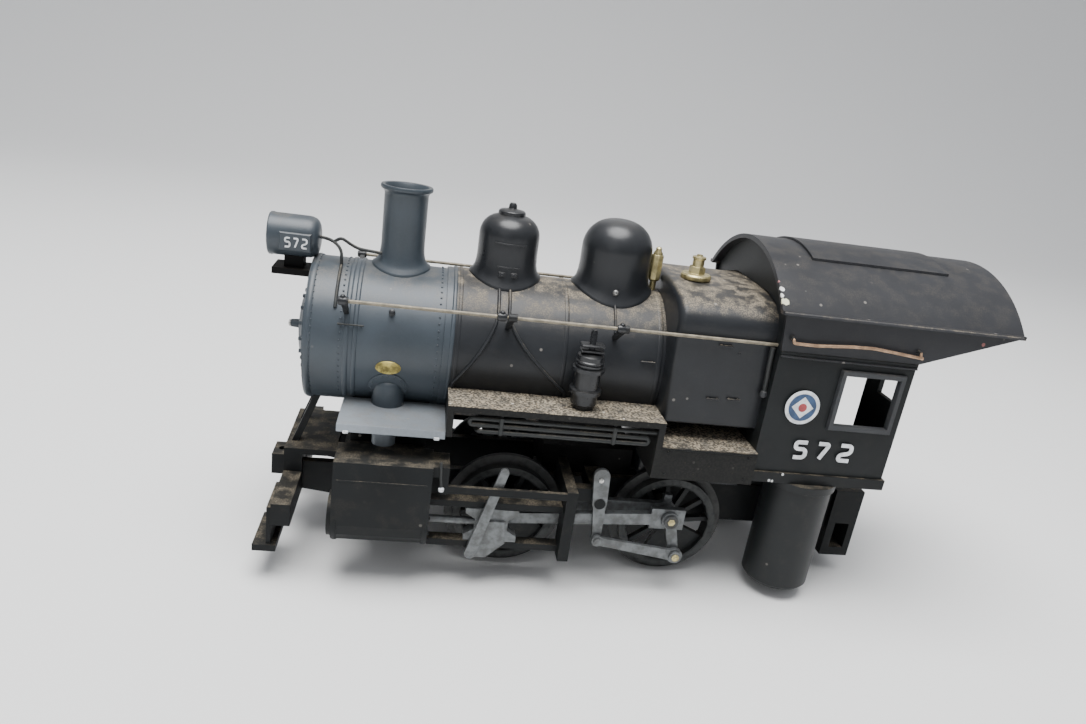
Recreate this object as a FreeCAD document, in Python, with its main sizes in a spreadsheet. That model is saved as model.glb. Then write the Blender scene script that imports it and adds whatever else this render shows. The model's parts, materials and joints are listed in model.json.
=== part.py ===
import FreeCAD, Part
import math
import os
import Sketcher

# Model of a 0-4-0 steam locomotive for 45 mm garden railway track, in millimetres.
# The front of the engine faces -X, its left-hand side is -Y and +Z is up.
# X = 0 and Y = 0 are the middle of the model, and Z = 0 is the bottom of the wheel flanges.

doc = FreeCAD.newDocument("garden_engine")
sheet = doc.addObject("Spreadsheet::Sheet", "Sizes")
LEFT = -1
RIGHT = 1
SIDES = {LEFT: "left", RIGHT: "right"}
nodes = {}
sheet_row = 0


class Dim:
    """A length or angle that carries its number and the sheet formula that gives it."""

    def __init__(self, text, value):
        self.text = text
        self.value = value

    @staticmethod
    def of(other):
        if isinstance(other, Dim):
            return other
        return Dim(repr(float(other)), float(other))

    def __add__(self, other):
        other = Dim.of(other)
        return Dim(f"({self.text} + {other.text})", self.value + other.value)

    def __sub__(self, other):
        other = Dim.of(other)
        return Dim(f"({self.text} - {other.text})", self.value - other.value)

    def __mul__(self, other):
        other = Dim.of(other)
        return Dim(f"({self.text} * {other.text})", self.value * other.value)

    def __truediv__(self, other):
        other = Dim.of(other)
        return Dim(f"({self.text} / {other.text})", self.value / other.value)

    def __neg__(self):
        return Dim(f"(-1 * {self.text})", -self.value)

    def __radd__(self, other):
        return Dim.of(other) + self

    def __rsub__(self, other):
        return Dim.of(other) - self

    def __rmul__(self, other):
        return Dim.of(other) * self


def root(dim):
    """Square root of a Dim."""
    return Dim(f"sqrt({dim.text})", math.sqrt(dim.value))


def cosine(angle):
    """Cosine of a Dim in degrees."""
    return Dim(f"cos({angle.text})", math.cos(math.radians(angle.value)))


def sine(angle):
    """Sine of a Dim in degrees."""
    return Dim(f"sin({angle.text})", math.sin(math.radians(angle.value)))


def size(alias, value):
    """Write one driving dimension into the sheet and return it as a Dim."""
    global sheet_row
    sheet_row += 1
    sheet.set(f"A{sheet_row}", alias)
    sheet.set(f"B{sheet_row}", repr(value))
    sheet.setAlias(f"B{sheet_row}", alias)
    return Dim(f"Sizes.{alias}", float(value))


# ---------------------------------------------------------------- driving dimensions

fit = size("running_fit", 0.06)              # radial room of a turning fit
gap = size("moving_gap", 0.3)                # room between moving pieces that do not touch

# wheels and axles
axle_z = size("axle_height", 24.0)
rear_axle_x = size("rear_axle_place", 24.1)
wheel_base = size("wheel_base", 68.9)
tread_r = size("tread_radius", 20.5)
flange_r = size("flange_radius", 24.0)
wheel_back = size("wheel_back_plane", 21.3)
flange_t = size("flange_thickness", 2.0)
tyre_w = size("tyre_width", 6.5)
rim_t = size("rim_thickness", 3.2)
hub_r = size("hub_radius", 5.6)
web_t = size("web_thickness", 2.6)
axle_r = size("axle_radius", 3.0)
spoke_count = 12
spoke_w = size("spoke_width", 2.0)
front_axle_x = rear_axle_x - wheel_base
wheel_face = wheel_back + tyre_w

# motion planes, measured outwards from the middle of the engine
crank_r = size("crank_radius", 8.5)
crank_angle = size("crank_angle_left", 112.0)
quarter = size("crank_quartering", 90.0)
crank_pin_r = size("crank_pin_radius", 2.2)
rod_gap = size("side_rod_gap", 1.1)
side_rod_t = size("side_rod_thickness", 2.8)
side_rod_h = size("side_rod_depth", 6.6)
side_rod_eye_r = size("side_rod_eye_radius", 4.4)
main_rod_in = size("main_rod_plane", 35.9)
main_rod_t = size("main_rod_thickness", 2.8)
main_rod_len = size("main_rod_length", 72.2)
main_rod_h = size("main_rod_depth", 4.4)
big_end_r = size("big_end_half_height", 4.4)
return_crank_t = size("return_crank_thickness", 1.4)
pin_head_t = size("pin_head_thickness", 0.8)
ecc_r = size("eccentric_radius", 6.2)
ecc_angle = size("eccentric_angle_left", -87.0)
ecc_pin_r = size("eccentric_pin_radius", 1.4)
ecc_rod_t = size("eccentric_rod_thickness", 1.6)
side_rod_in = wheel_face + rod_gap
side_rod_out = side_rod_in + side_rod_t
main_rod_out = main_rod_in + main_rod_t
link_in = main_rod_out + gap
link_t = size("expansion_link_thickness", 1.8)
return_crank_out = link_in + return_crank_t
crank_head_out = return_crank_out + pin_head_t
ecc_rod_in = crank_head_out + gap
ecc_rod_out = ecc_rod_in + ecc_rod_t

# cylinders
cyl_y = size("cylinder_spread", 41.5)
cyl_z = size("cylinder_height", 27.6)
cyl_x0 = size("cylinder_front", -110.6)
cyl_len = size("cylinder_length", 35.4)
cyl_r = size("cylinder_radius", 9.6)
chest_top = size("steam_chest_top", 52.7)
chest_shoulder = size("steam_chest_shoulder", 46.5)
bore_r = size("cylinder_bore_radius", 7.2)
cyl_wall = size("cylinder_end_wall", 3.0)
piston_t = size("piston_thickness", 5.0)
piston_rod_r = size("piston_rod_radius", 1.5)
piston_mid = size("piston_middle_place", -92.9)
cyl_x1 = cyl_x0 + cyl_len

# crosshead and guides
shoe_w = size("crosshead_width", 5.0)
shoe_up = size("crosshead_top", 6.7)
shoe_down = size("crosshead_bottom", 7.1)
shoe_half = size("crosshead_half_length", 10.2)
guide_h = size("guide_bar_depth", 2.6)
yoke_x0 = rear_axle_x - wheel_base + size("guide_yoke_behind_front_axle", 20.4)
yoke_t = size("guide_yoke_thickness", 4.2)
drop_t = size("drop_arm_thickness", 1.2)
drop_len = size("drop_arm_length", 13.8)
lever_t = size("lever_thickness", 1.2)
lever_len = size("lever_length", 36.6)
valve_z = size("valve_stem_height", 44.5)
valve_x = size("valve_stem_place", -50.6)
outer_bar_t = size("valve_bar_thickness", 1.7)
cross_in = main_rod_out + gap
cross_out = cross_in + shoe_w
lever_in = cross_out + drop_t + gap
lever_out = lever_in + lever_t
bar_in = lever_out + gap
bar_out = bar_in + outer_bar_t

# expansion link
link_x = yoke_x0 + size("expansion_link_behind_yoke", 15.0)
link_z = size("expansion_link_height", 38.0)
link_up = size("expansion_link_top_reach", 11.7)
link_down = size("expansion_link_foot_reach", 15.5)
trunnion_r = size("trunnion_radius", 1.3)

# frame
frame_in = size("frame_inner_plane", 14.0)
frame_t = size("frame_thickness", 3.5)
frame_bottom = size("frame_bottom", 22.0)
frame_top = size("frame_top", 40.0)
horn_bottom = size("horn_block_bottom", 17.0)
beam_x0 = size("pilot_beam_front", -132.2)
beam_t = size("pilot_beam_thickness", 6.9)
beam_half = size("pilot_beam_half_width", 47.0)
beam_z0 = size("pilot_beam_bottom", 23.7)
beam_z1 = size("pilot_beam_top", 32.5)
frame_rear = size("frame_rear_end", 100.0)
beam_x1 = beam_x0 + beam_t
frame_out = frame_in + frame_t

# boiler
boiler_z = size("boiler_height", 86.9)
boiler_r = size("boiler_radius", 28.6)
smokebox_step = size("smokebox_step_below_boiler", 1.0)
smokebox_r = boiler_r - smokebox_step
smokebox_x0 = size("smokebox_front", -126.0)
smokebox_x1 = size("smokebox_rear", -72.0)
shell_t = size("boiler_shell_thickness", 2.0)
firebox_x0 = size("firebox_front", 9.5)
firebox_half = size("firebox_half_width", 36.3)
firebox_top = boiler_z + size("firebox_top_above_boiler_centre", 37.0)
firebox_skirt = size("firebox_skirt_height", 73.0)
firebox_leg_half = size("firebox_leg_half_width", 20.0)
firebox_reach = size("firebox_reach_into_cab", 6.0)
door_r = size("smokebox_door_radius", 15.0)
door_hinge_y = size("door_hinge_offset", 16.4)
front_t = size("smokebox_front_thickness", 2.2)
door_hinge_x = smokebox_x0 - 2.2

# boiler mountings
stack_x = size("stack_place", -93.4)
stack_r = size("stack_radius", 8.2)
stack_bore = size("stack_bore_radius", 6.5)
stack_rim_r = size("stack_rim_radius", 9.75)
stack_top = boiler_z + size("stack_top_above_boiler_centre", 57.8)
sand_x = size("sand_dome_place", -53.2)
sand_r = size("sand_dome_radius", 11.7)
sand_top = boiler_z + size("sand_dome_top_above_boiler_centre", 52.1)
steam_x = size("steam_dome_place", -10.1)
steam_r = size("steam_dome_radius", 14.0)
steam_top = boiler_z + size("steam_dome_top_above_boiler_centre", 55.1)
whistle_x = size("whistle_place", 6.8)
whistle_top = boiler_z + size("whistle_top_above_boiler_centre", 46.1)
valve_seat_x = size("safety_valve_place", 21.0)
valve_seat_y = size("safety_valve_offset", -9.0)
valve_seat_top = boiler_z + size("safety_valve_top_above_boiler_centre", 46.6)
light_z = boiler_z + size("headlight_height_above_boiler_centre", 34.4)
light_r = size("headlight_radius", 7.8)
light_x0 = size("headlight_front", -142.6)
light_x1 = size("headlight_rear", -124.0)
rail_y = boiler_r + size("handrail_outside_boiler", 9.4)
rail_z = boiler_z + size("handrail_height_above_boiler_centre", 21.6)
rail_r = size("handrail_radius", 0.65)
rail_x0 = size("handrail_front", -113.0)
pump_x = size("air_pump_place", -21.5)
pump_r = size("air_pump_radius", 6.2)
pump_top = boiler_z + size("air_pump_top_above_boiler_centre", 19.6)

# running boards, cab and roof
board_x0 = smokebox_x1
board_half = size("running_board_half_width", 45.0)
board_top = size("running_board_top", 75.8)
board_t = size("running_board_thickness", 2.4)
front_plate_x0 = size("front_plate_front", -110.8)
front_plate_top = size("front_plate_top", 65.0)
front_plate_half = size("front_plate_half_width", 44.0)
plate_t = size("plate_thickness", 1.4)
steam_pipe_in = size("steam_pipe_inside_cylinder_line", 11.5)
step_x0 = firebox_x0
step_bottom = size("step_box_bottom", 53.0)
step_top = size("step_box_top", 66.3)
cab_x0 = size("cab_front", 48.0)
cab_x1 = size("cab_rear", 103.7)
cab_half = size("cab_half_width", 41.8)
cab_t = size("cab_wall_thickness", 2.0)
floor_z = size("cab_floor_top", 58.1)
floor_t = size("cab_floor_thickness", 4.3)
cab_top = size("cab_side_top", 107.5)
window_x0 = size("window_front", 74.5)
window_x1 = size("window_rear", 99.5)
window_z0 = size("window_bottom", 78.8)
window_z1 = size("window_top", 102.3)
doorway_half = size("doorway_half_width", 14.2)
doorway_top = size("doorway_top", 112.0)
rear_window_in = size("rear_window_inner_edge", 24.3)
rear_window_out = size("rear_window_outer_edge", 36.0)
rear_window_z0 = size("rear_window_bottom", 89.2)
rear_window_z1 = size("rear_window_top", 102.3)
eave_z = size("eave_height", 122.3)
roof_rise = size("roof_rise", 19.6)
roof_half = size("roof_half_width", 43.4)
roof_t = size("roof_thickness", 1.8)
skirt_in = size("roof_skirt_inset", 2.4)
roof_x0 = size("roof_front", 44.5)
roof_x1 = size("roof_rear", 143.0)
hatch_x0 = size("hatch_front", 62.0)
hatch_x1 = size("hatch_rear", 119.7)
hatch_half = size("hatch_half_width", 20.0)
tank_x = size("tank_place", 74.0)
tank_y = size("tank_spread", 32.3)
tank_r = size("tank_radius", 13.6)
tank_z0 = size("tank_bottom", 5.4)

# motor and gear
gear_r = size("axle_gear_radius", 8.0)
worm_r = size("worm_radius", 3.6)
shaft_r = size("motor_shaft_radius", 1.2)
motor_x0 = size("motor_front", -30.0)
motor_len = size("motor_length", 38.0)
worm_z = axle_z + gear_r + worm_r + gap


# ---------------------------------------------------------------- ways to make a piece

def bind(target, path, dim):
    """Tie one property of an object to the sheet."""
    target.setExpression(path, Dim.of(dim).text)


def vector(x, y, z):
    return FreeCAD.Vector(Dim.of(x).value, Dim.of(y).value, Dim.of(z).value)


def put(target, at, axis=(0, 0, 1), angle=0):
    """Place an object at a point, turned by an angle in degrees about an axis."""
    turn = FreeCAD.Rotation(FreeCAD.Vector(*axis), Dim.of(angle).value)
    target.Placement = FreeCAD.Placement(vector(*at), turn)
    for letter, dim in zip("xyz", at):
        bind(target, f"Placement.Base.{letter}", dim)
    if isinstance(angle, Dim):
        bind(target, "Placement.Rotation.Angle", angle)
    return target


def box(label, x, y, z):
    """A block between two planes on each axis, each given as (low, high)."""
    block = doc.addObject("Part::Box", label)
    bind(block, "Length", Dim.of(x[1]) - x[0])
    bind(block, "Width", Dim.of(y[1]) - y[0])
    bind(block, "Height", Dim.of(z[1]) - z[0])
    return put(block, (x[0], y[0], z[0]))


def outward(side, inner, outer):
    """The low and high Y of a piece that lies between two planes on one side of the engine."""
    if side == LEFT:
        return (-Dim.of(outer), -Dim.of(inner))
    return (Dim.of(inner), Dim.of(outer))


AXIS_TURN = {"X": ((0, 1, 0), 90), "Y": ((1, 0, 0), -90), "Z": ((0, 0, 1), 0)}


def bar(label, axis, at, radius, length):
    """A round bar that starts at a point and runs along one axis."""
    shaft = doc.addObject("Part::Cylinder", label)
    bind(shaft, "Radius", radius)
    bind(shaft, "Height", length)
    turn_axis, angle = AXIS_TURN[axis]
    return put(shaft, at, turn_axis, angle)


def bar_across(label, side, x, z, radius, inner, outer):
    """A round bar along Y between two planes on one side of the engine."""
    y0, y1 = outward(side, inner, outer)
    return bar(label, "Y", (x, y0, z), radius, y1 - y0)


def fuse(label, pieces):
    joined = doc.addObject("Part::MultiFuse", label)
    joined.Shapes = pieces
    return joined


def cut(label, base, tools):
    """A base less one or more tools."""
    tool = tools[0] if len(tools) == 1 else fuse(f"{label}_cutters", tools)
    result = doc.addObject("Part::Cut", label)
    result.Base = base
    result.Tool = tool
    return result


def common(label, first, second):
    result = doc.addObject("Part::Common", label)
    result.Base = first
    result.Tool = second
    return result


def origin_feature(body, role):
    return next(item for item in body.Origin.OriginFeatures if item.Role == role)


def sketch(body, label, plane, outline, offset=0, holes=()):
    """A closed outline of straight lines, with round holes, each point tied to the sheet."""
    drawing = body.newObject("Sketcher::SketchObject", label)
    drawing.AttachmentSupport = [(origin_feature(body, f"{plane}_Plane"), "")]
    drawing.MapMode = "FlatFace"
    bind(drawing, "AttachmentOffset.Base.z", offset)
    points = [vector(a, b, 0) for a, b in outline]
    count = len(points)
    for i in range(count):
        drawing.addGeometry(Part.LineSegment(points[i], points[(i + 1) % count]))
    for i in range(count):
        drawing.addConstraint(Sketcher.Constraint("Coincident", i, 2, (i + 1) % count, 1))
    for i, point in enumerate(outline):
        hold_point(drawing, i, 1, point)
    for a, b, radius in holes:
        centre = vector(a, b, 0)
        ring = drawing.addGeometry(Part.Circle(centre, FreeCAD.Vector(0, 0, 1), Dim.of(radius).value))
        hold_point(drawing, ring, 3, (a, b))
        index = drawing.addConstraint(Sketcher.Constraint("Radius", ring, Dim.of(radius).value))
        bind(drawing, f"Constraints[{index}]", radius)
    return drawing


def hold_point(drawing, piece, spot, point):
    """Fix one point of a sketch at its distances from the sketch's origin."""
    for kind, dim in zip(("DistanceX", "DistanceY"), point):
        value = Dim.of(dim).value
        index = drawing.addConstraint(Sketcher.Constraint(kind, -1, 1, piece, spot, value))
        if isinstance(dim, Dim):
            bind(drawing, f"Constraints[{index}]", dim)


def pad(label, plane, outline, low, high, holes=()):
    """An outline in one plane carried from a low to a high coordinate across it."""
    body = doc.addObject("PartDesign::Body", label)
    # the XZ plane faces -Y, so its pads start at the high coordinate
    start = -Dim.of(high) if plane == "XZ" else low
    drawing = sketch(body, f"{label}_outline", plane, outline, start, holes)
    feature = body.newObject("PartDesign::Pad", f"{label}_pad")
    feature.Profile = drawing
    bind(feature, "Length", Dim.of(high) - low)
    drawing.Visibility = False
    return body


def turned(label, axis, profile, at):
    """A profile of (along, radius) points turned about X or Y, or (radius, height) points about Z."""
    body = doc.addObject("PartDesign::Body", label)
    plane = "YZ" if axis == "Y" else "XZ"
    drawing = sketch(body, f"{label}_profile", plane, profile)
    feature = body.newObject("PartDesign::Revolution", f"{label}_turn")
    feature.Profile = drawing
    feature.ReferenceAxis = (drawing, ["V_Axis" if axis == "Z" else "H_Axis"])
    feature.Angle = 360
    return put(body, at)


def strap(label, side, start, end, half, inner, outer, half_end=None):
    """A flat strip between two (x, z) points, lying between two planes of one side."""
    run = end[0] - start[0]
    rise = end[1] - start[1]
    length = root(run * run + rise * rise)
    across = (-rise / length, run / length)
    widths = (half, half_end or half)
    outline = []
    for sign in (1, -1):
        ends = ((start, widths[0]), (end, widths[1]))
        for (x, z), width in ends if sign == 1 else reversed(ends):
            outline.append((x + across[0] * width * sign, z + across[1] * width * sign))
    y0, y1 = outward(side, inner, outer)
    return pad(label, "XZ", outline, y0, y1)


def node(name, piece):
    """Register a finished sub-part under its own name."""
    piece.Label = name
    nodes[name] = piece
    return piece


# ---------------------------------------------------------------- crank geometry

def crank_angle_of(side):
    return crank_angle if side == LEFT else crank_angle - quarter


def ecc_angle_of(side):
    return ecc_angle if side == LEFT else ecc_angle - quarter


def crank_place(side, axle_x):
    """X and Z of the crank pin of one wheel."""
    angle = crank_angle_of(side)
    return axle_x + crank_r * cosine(angle), axle_z + crank_r * sine(angle)


def ecc_place(side):
    """X and Z of the eccentric pin at the end of the return crank."""
    angle = ecc_angle_of(side)
    return rear_axle_x + ecc_r * cosine(angle), axle_z + ecc_r * sine(angle)


def crosshead_place(side):
    """X of the crosshead pin, one main rod's length ahead of the crank pin."""
    crank_x, crank_z = crank_place(side, rear_axle_x)
    rise = crank_z - cyl_z
    return crank_x - root(main_rod_len * main_rod_len - rise * rise)


# ---------------------------------------------------------------- wheels

def wheel(name, side, axle_x):
    """A spoked wheel with a flange, a counterweight and a boss for its crank pin."""
    sign = 1 if side == RIGHT else -1
    rim_r = tread_r - rim_t
    web_in = wheel_back + 1.6
    web_out = web_in + web_t
    planes = [(wheel_back, axle_r), (wheel_face, axle_r), (wheel_face, hub_r), (web_out, hub_r),
              (web_out, rim_r), (wheel_face, rim_r), (wheel_face, tread_r),
              (wheel_back + flange_t, tread_r), (wheel_back + flange_t, flange_r),
              (wheel_back, flange_r), (wheel_back, rim_r), (web_in, rim_r), (web_in, hub_r),
              (wheel_back, hub_r)]
    profile = [(sign * along, radius) for along, radius in planes]
    body = turned(f"{name}_body", "Y", profile, (0, 0, 0))
    # one opening between two spokes, patterned round the wheel but not through the counterweight
    half_in = hub_r * math.tan(math.pi / spoke_count) - spoke_w / 2
    half_out = rim_r * math.tan(math.pi / spoke_count) - spoke_w / 2
    opening = [(half_in * -1, hub_r), (half_out * -1, rim_r), (half_out, rim_r), (half_in, hub_r)]
    drawing = sketch(body, f"{name}_opening", "XZ", opening)
    pocket = body.newObject("PartDesign::Pocket", f"{name}_pocket")
    pocket.Profile = drawing
    pocket.Type = "ThroughAll"
    pocket.SideType = "Symmetric"
    pattern = body.newObject("PartDesign::PolarPattern", f"{name}_spokes")
    pattern.Originals = [pocket]
    pattern.Axis = (origin_feature(body, "Y_Axis"), [""])
    step = 360.0 / spoke_count
    openings = spoke_count - 3
    pattern.Angle = step * (openings - 1)
    pattern.Occurrences = openings
    body.Tip = pattern
    # the pattern runs one way round Y; the turn puts its gap opposite the crank pin
    middle = step * (openings - 1) / 2
    turn = 90 - crank_angle_of(side) - middle
    put(body, (axle_x, 0, axle_z), (0, 1, 0), turn)
    pin_x, pin_z = crank_place(side, axle_x)
    boss = bar_across(f"{name}_boss", side, pin_x, pin_z, crank_pin_r + 1.6, web_in, wheel_face + 0.5)
    solid = fuse(f"{name}_solid", [body, boss])
    # the crank pin and the boss share one bore
    bore = bar_across(f"{name}_bore", side, pin_x, pin_z, crank_pin_r, wheel_back, wheel_face + 1)
    return node(name, cut(f"{name}_cut", solid, [bore]))


def main_crank_pin(side):
    """The rear crank pin, made in one piece with the return crank and its eccentric pin."""
    name = f"return_crank_{SIDES[side]}"
    crank_x, crank_z = crank_place(side, rear_axle_x)
    ecc_x, ecc_z = ecc_place(side)
    pin = bar_across(f"{name}_pin", side, crank_x, crank_z, crank_pin_r, wheel_back + 1.6, link_in)
    collar = bar_across(f"{name}_collar", side, crank_x, crank_z, crank_pin_r + 1.0,
                        side_rod_out + gap, main_rod_in - gap)
    boss = bar_across(f"{name}_boss", side, crank_x, crank_z, 3.6, link_in, return_crank_out)
    head = bar_across(f"{name}_head", side, crank_x, crank_z, 2.4, return_crank_out, crank_head_out)
    foot = bar_across(f"{name}_foot", side, ecc_x, ecc_z, 2.6, link_in, return_crank_out)
    ecc_pin = bar_across(f"{name}_ecc_pin", side, ecc_x, ecc_z, ecc_pin_r, return_crank_out,
                         ecc_rod_out + gap)
    cap = bar_across(f"{name}_cap", side, ecc_x, ecc_z, 2.5, ecc_rod_out + gap, ecc_rod_out + gap + 1.0)
    arm = strap(f"{name}_arm", side, (crank_x, crank_z), (ecc_x, ecc_z), 2.2, link_in, return_crank_out)
    return node(name, fuse(f"{name}_solid", [pin, collar, boss, head, foot, ecc_pin, cap, arm]))


# ---------------------------------------------------------------- rods and valve gear

def side_rod(side):
    name = f"side_rod_{SIDES[side]}"
    rear = crank_place(side, rear_axle_x)
    front = crank_place(side, front_axle_x)
    y0, y1 = outward(side, side_rod_in, side_rod_out)
    strip = strap(f"{name}_strip", side, rear, front, side_rod_h / 2, side_rod_in, side_rod_out)
    eyes = [bar_across(f"{name}_eye{i}", side, x, z, side_rod_eye_r, side_rod_in, side_rod_out)
            for i, (x, z) in enumerate((rear, front))]
    # oil cup standing on the rear eye
    cup = box(f"{name}_cup", (rear[0] - 1.6, rear[0] + 1.6), (y0, y1),
              (rear[1], rear[1] + side_rod_eye_r + 3.0))
    bores = [bar_across(f"{name}_bore{i}", side, x, z, crank_pin_r + fit, side_rod_in - 1, side_rod_out + 1)
             for i, (x, z) in enumerate((rear, front))]
    solid = fuse(f"{name}_solid", [strip, cup] + eyes)
    return node(name, cut(f"{name}_cut", solid, bores))


def main_rod(side):
    name = f"main_rod_{SIDES[side]}"
    crank = crank_place(side, rear_axle_x)
    small = (crosshead_place(side), cyl_z)
    strip = strap(f"{name}_strip", side, crank, small, main_rod_h / 2 + 0.3, main_rod_in, main_rod_out,
                  main_rod_h / 2)
    y0, y1 = outward(side, main_rod_in, main_rod_out)
    big_end = box(f"{name}_big_end", (crank[0] - 8.0, crank[0] + 6.0), (y0, y1),
                  (crank[1] - big_end_r, crank[1] + big_end_r))
    eye = bar_across(f"{name}_eye", side, small[0], small[1], 3.2, main_rod_in, main_rod_out)
    bore = bar_across(f"{name}_bore", side, crank[0], crank[1], crank_pin_r + fit, main_rod_in - 1,
                      main_rod_out + 1)
    return node(name, cut(f"{name}_cut", fuse(f"{name}_solid", [strip, big_end, eye]), [bore]))


def eccentric_rod(side):
    name = f"eccentric_rod_{SIDES[side]}"
    pin = ecc_place(side)
    foot = (link_x + 1.1, link_z - link_down)
    strip = strap(f"{name}_strip", side, pin, foot, 2.3, ecc_rod_in, ecc_rod_out, 1.7)
    eyes = [bar_across(f"{name}_eye", side, pin[0], pin[1], 3.2, ecc_rod_in, ecc_rod_out),
            bar_across(f"{name}_front_eye", side, foot[0], foot[1], 2.3, ecc_rod_in, ecc_rod_out),
            bar_across(f"{name}_front_bolt", side, foot[0], foot[1], 1.5, ecc_rod_out, ecc_rod_out + 0.8)]
    bore = bar_across(f"{name}_bore", side, pin[0], pin[1], ecc_pin_r + fit, ecc_rod_in - 1,
                      ecc_rod_out + 1)
    return node(name, cut(f"{name}_cut", fuse(f"{name}_solid", [strip] + eyes), [bore]))


def expansion_link(side):
    name = f"expansion_link_{SIDES[side]}"
    foot = (link_x + 1.1, link_z - link_down)
    outer = link_in + link_t
    upper = strap(f"{name}_upper", side, (link_x, link_z), (link_x - 0.9, link_z + link_up), 2.9,
                  link_in, outer, 3.2)
    lower = strap(f"{name}_lower", side, (link_x, link_z), foot, 2.6, link_in, outer, 1.7)
    rounds = [bar_across(f"{name}_head", side, link_x - 0.9, link_z + link_up, 3.2, link_in, outer),
              bar_across(f"{name}_middle", side, link_x, link_z, 3.0, link_in, outer),
              bar_across(f"{name}_foot", side, foot[0], foot[1], 2.2, link_in, outer)]
    bore = bar_across(f"{name}_bore", side, link_x, link_z, trunnion_r + fit, link_in - 1, outer + 1)
    return node(name, cut(f"{name}_cut", fuse(f"{name}_solid", [upper, lower] + rounds), [bore]))


def crosshead(side):
    """Crosshead with its shoes, drop arm, lever pin, piston rod and piston."""
    name = f"crosshead_{SIDES[side]}"
    pin_x = crosshead_place(side)
    half = shoe_half
    waist = shoe_half - 3.8
    outline = [(-half, shoe_up), (half, shoe_up), (half, shoe_up - 2.2), (waist, 2.2), (waist, -2.2),
               (half, 2.4 - shoe_down), (half, -shoe_down), (-half, -shoe_down), (-half, 2.4 - shoe_down),
               (-waist, -2.2), (-waist, 2.2), (-half, shoe_up - 2.2)]
    y0, y1 = outward(side, cross_in, cross_out)
    body = pad(f"{name}_body", "XZ", [(pin_x + x, cyl_z + z) for x, z in outline], y0, y1)
    arm_outline = [(-5.0, 2.0), (5.0, 2.0), (6.0, -shoe_down), (-1.0, -drop_len), (-9.0, -drop_len),
                   (-8.0, -shoe_down)]
    y0, y1 = outward(side, cross_out, cross_out + drop_t)
    arm = pad(f"{name}_drop_arm", "XZ", [(pin_x + x, cyl_z + z) for x, z in arm_outline], y0, y1)
    lever_pin = bar_across(f"{name}_lever_pin", side, pin_x - 7.0, cyl_z + 2.2 - drop_len, 1.0,
                           cross_out + drop_t, lever_out)
    rod = bar(f"{name}_rod", "X", (piston_x(side), side * cyl_y, cyl_z), piston_rod_r,
              pin_x - waist - piston_x(side))
    piston = bar(f"{name}_piston", "X", (piston_x(side) - piston_t / 2, side * cyl_y, cyl_z),
                 bore_r - fit, piston_t)
    return node(name, fuse(f"{name}_solid", [body, arm, lever_pin, rod, piston]))


def crosshead_middle():
    """X of the crosshead pin at the middle of its stroke."""
    rise = cyl_z - axle_z
    return rear_axle_x - root(main_rod_len * main_rod_len - rise * rise)


def piston_x(side):
    return piston_mid + crosshead_place(side) - crosshead_middle()


def combination_lever(side):
    name = f"combination_lever_{SIDES[side]}"
    pin_x = crosshead_place(side) - 7.0
    pin_z = cyl_z + 2.2 - drop_len
    run = valve_x - pin_x
    rise = valve_z - pin_z
    reach = root(run * run + rise * rise)
    top = (pin_x + run * lever_len / reach, pin_z + rise * lever_len / reach)
    strip = strap(f"{name}_strip", side, (pin_x, pin_z), top, 2.1, lever_in, lever_out, 1.7)
    ends = [bar_across(f"{name}_eye", side, pin_x, pin_z, 2.2, lever_in, lever_out),
            bar_across(f"{name}_tip", side, top[0], top[1], 1.7, lever_in, lever_out)]
    bore = bar_across(f"{name}_bore", side, pin_x, pin_z, 1.0 + fit, lever_in - 1, lever_out + 1)
    return node(name, cut(f"{name}_cut", fuse(f"{name}_solid", [strip] + ends), [bore]))


def guide_frame(side):
    """Guide bars, guide yoke, valve bar and the bracket with the trunnion of the expansion link."""
    name = f"guide_frame_{SIDES[side]}"
    yoke_x1 = yoke_x0 + yoke_t
    guide_y = outward(side, cross_in, cross_out)
    upper_z = cyl_z + shoe_up + gap
    lower_z = cyl_z - shoe_down - gap
    arm_z = link_z - 0.8
    pieces = [
        box(f"{name}_upper", (cyl_x1, yoke_x0 + 1), guide_y, (upper_z, upper_z + guide_h)),
        box(f"{name}_lower", (cyl_x1, yoke_x0 + 1), guide_y, (lower_z - guide_h, lower_z)),
        box(f"{name}_yoke", (yoke_x0, yoke_x1), outward(side, cross_in, bar_out),
            (lower_z - guide_h - 1.5, valve_z + 1.5)),
        box(f"{name}_valve_bar", (cyl_x1 + 5, yoke_x1), outward(side, bar_in, bar_out),
            (valve_z - 2.0, valve_z + 0.8)),
        box(f"{name}_valve_post", (cyl_x1 + 3.5, cyl_x1 + 6), outward(side, bar_in, bar_out),
            (valve_z - 2.6, chest_top)),
        box(f"{name}_valve_foot", (cyl_x1, cyl_x1 + 6), outward(side, cyl_y - 6, bar_out),
            (chest_top - 4.0, chest_top)),
        box(f"{name}_arm", (yoke_x0, yoke_x1), outward(side, frame_out, cross_in + 1),
            (arm_z, valve_z + 1.5)),
        box(f"{name}_bridge", (yoke_x0, link_x + 3.4), outward(side, main_rod_in - 2, main_rod_out - gap),
            (arm_z, link_z + 5)),
        box(f"{name}_stay", (link_x - 3.4, link_x + 3.4), outward(side, frame_out, main_rod_out - gap),
            (arm_z, link_z + 5)),
        bar_across(f"{name}_trunnion", side, link_x, link_z, trunnion_r, main_rod_out - gap - 1,
                   link_in + link_t + gap),
        bar_across(f"{name}_trunnion_head", side, link_x, link_z, 2.2, link_in + link_t + gap,
                   crank_head_out),
    ]
    return node(name, fuse(f"{name}_solid", pieces))


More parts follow.
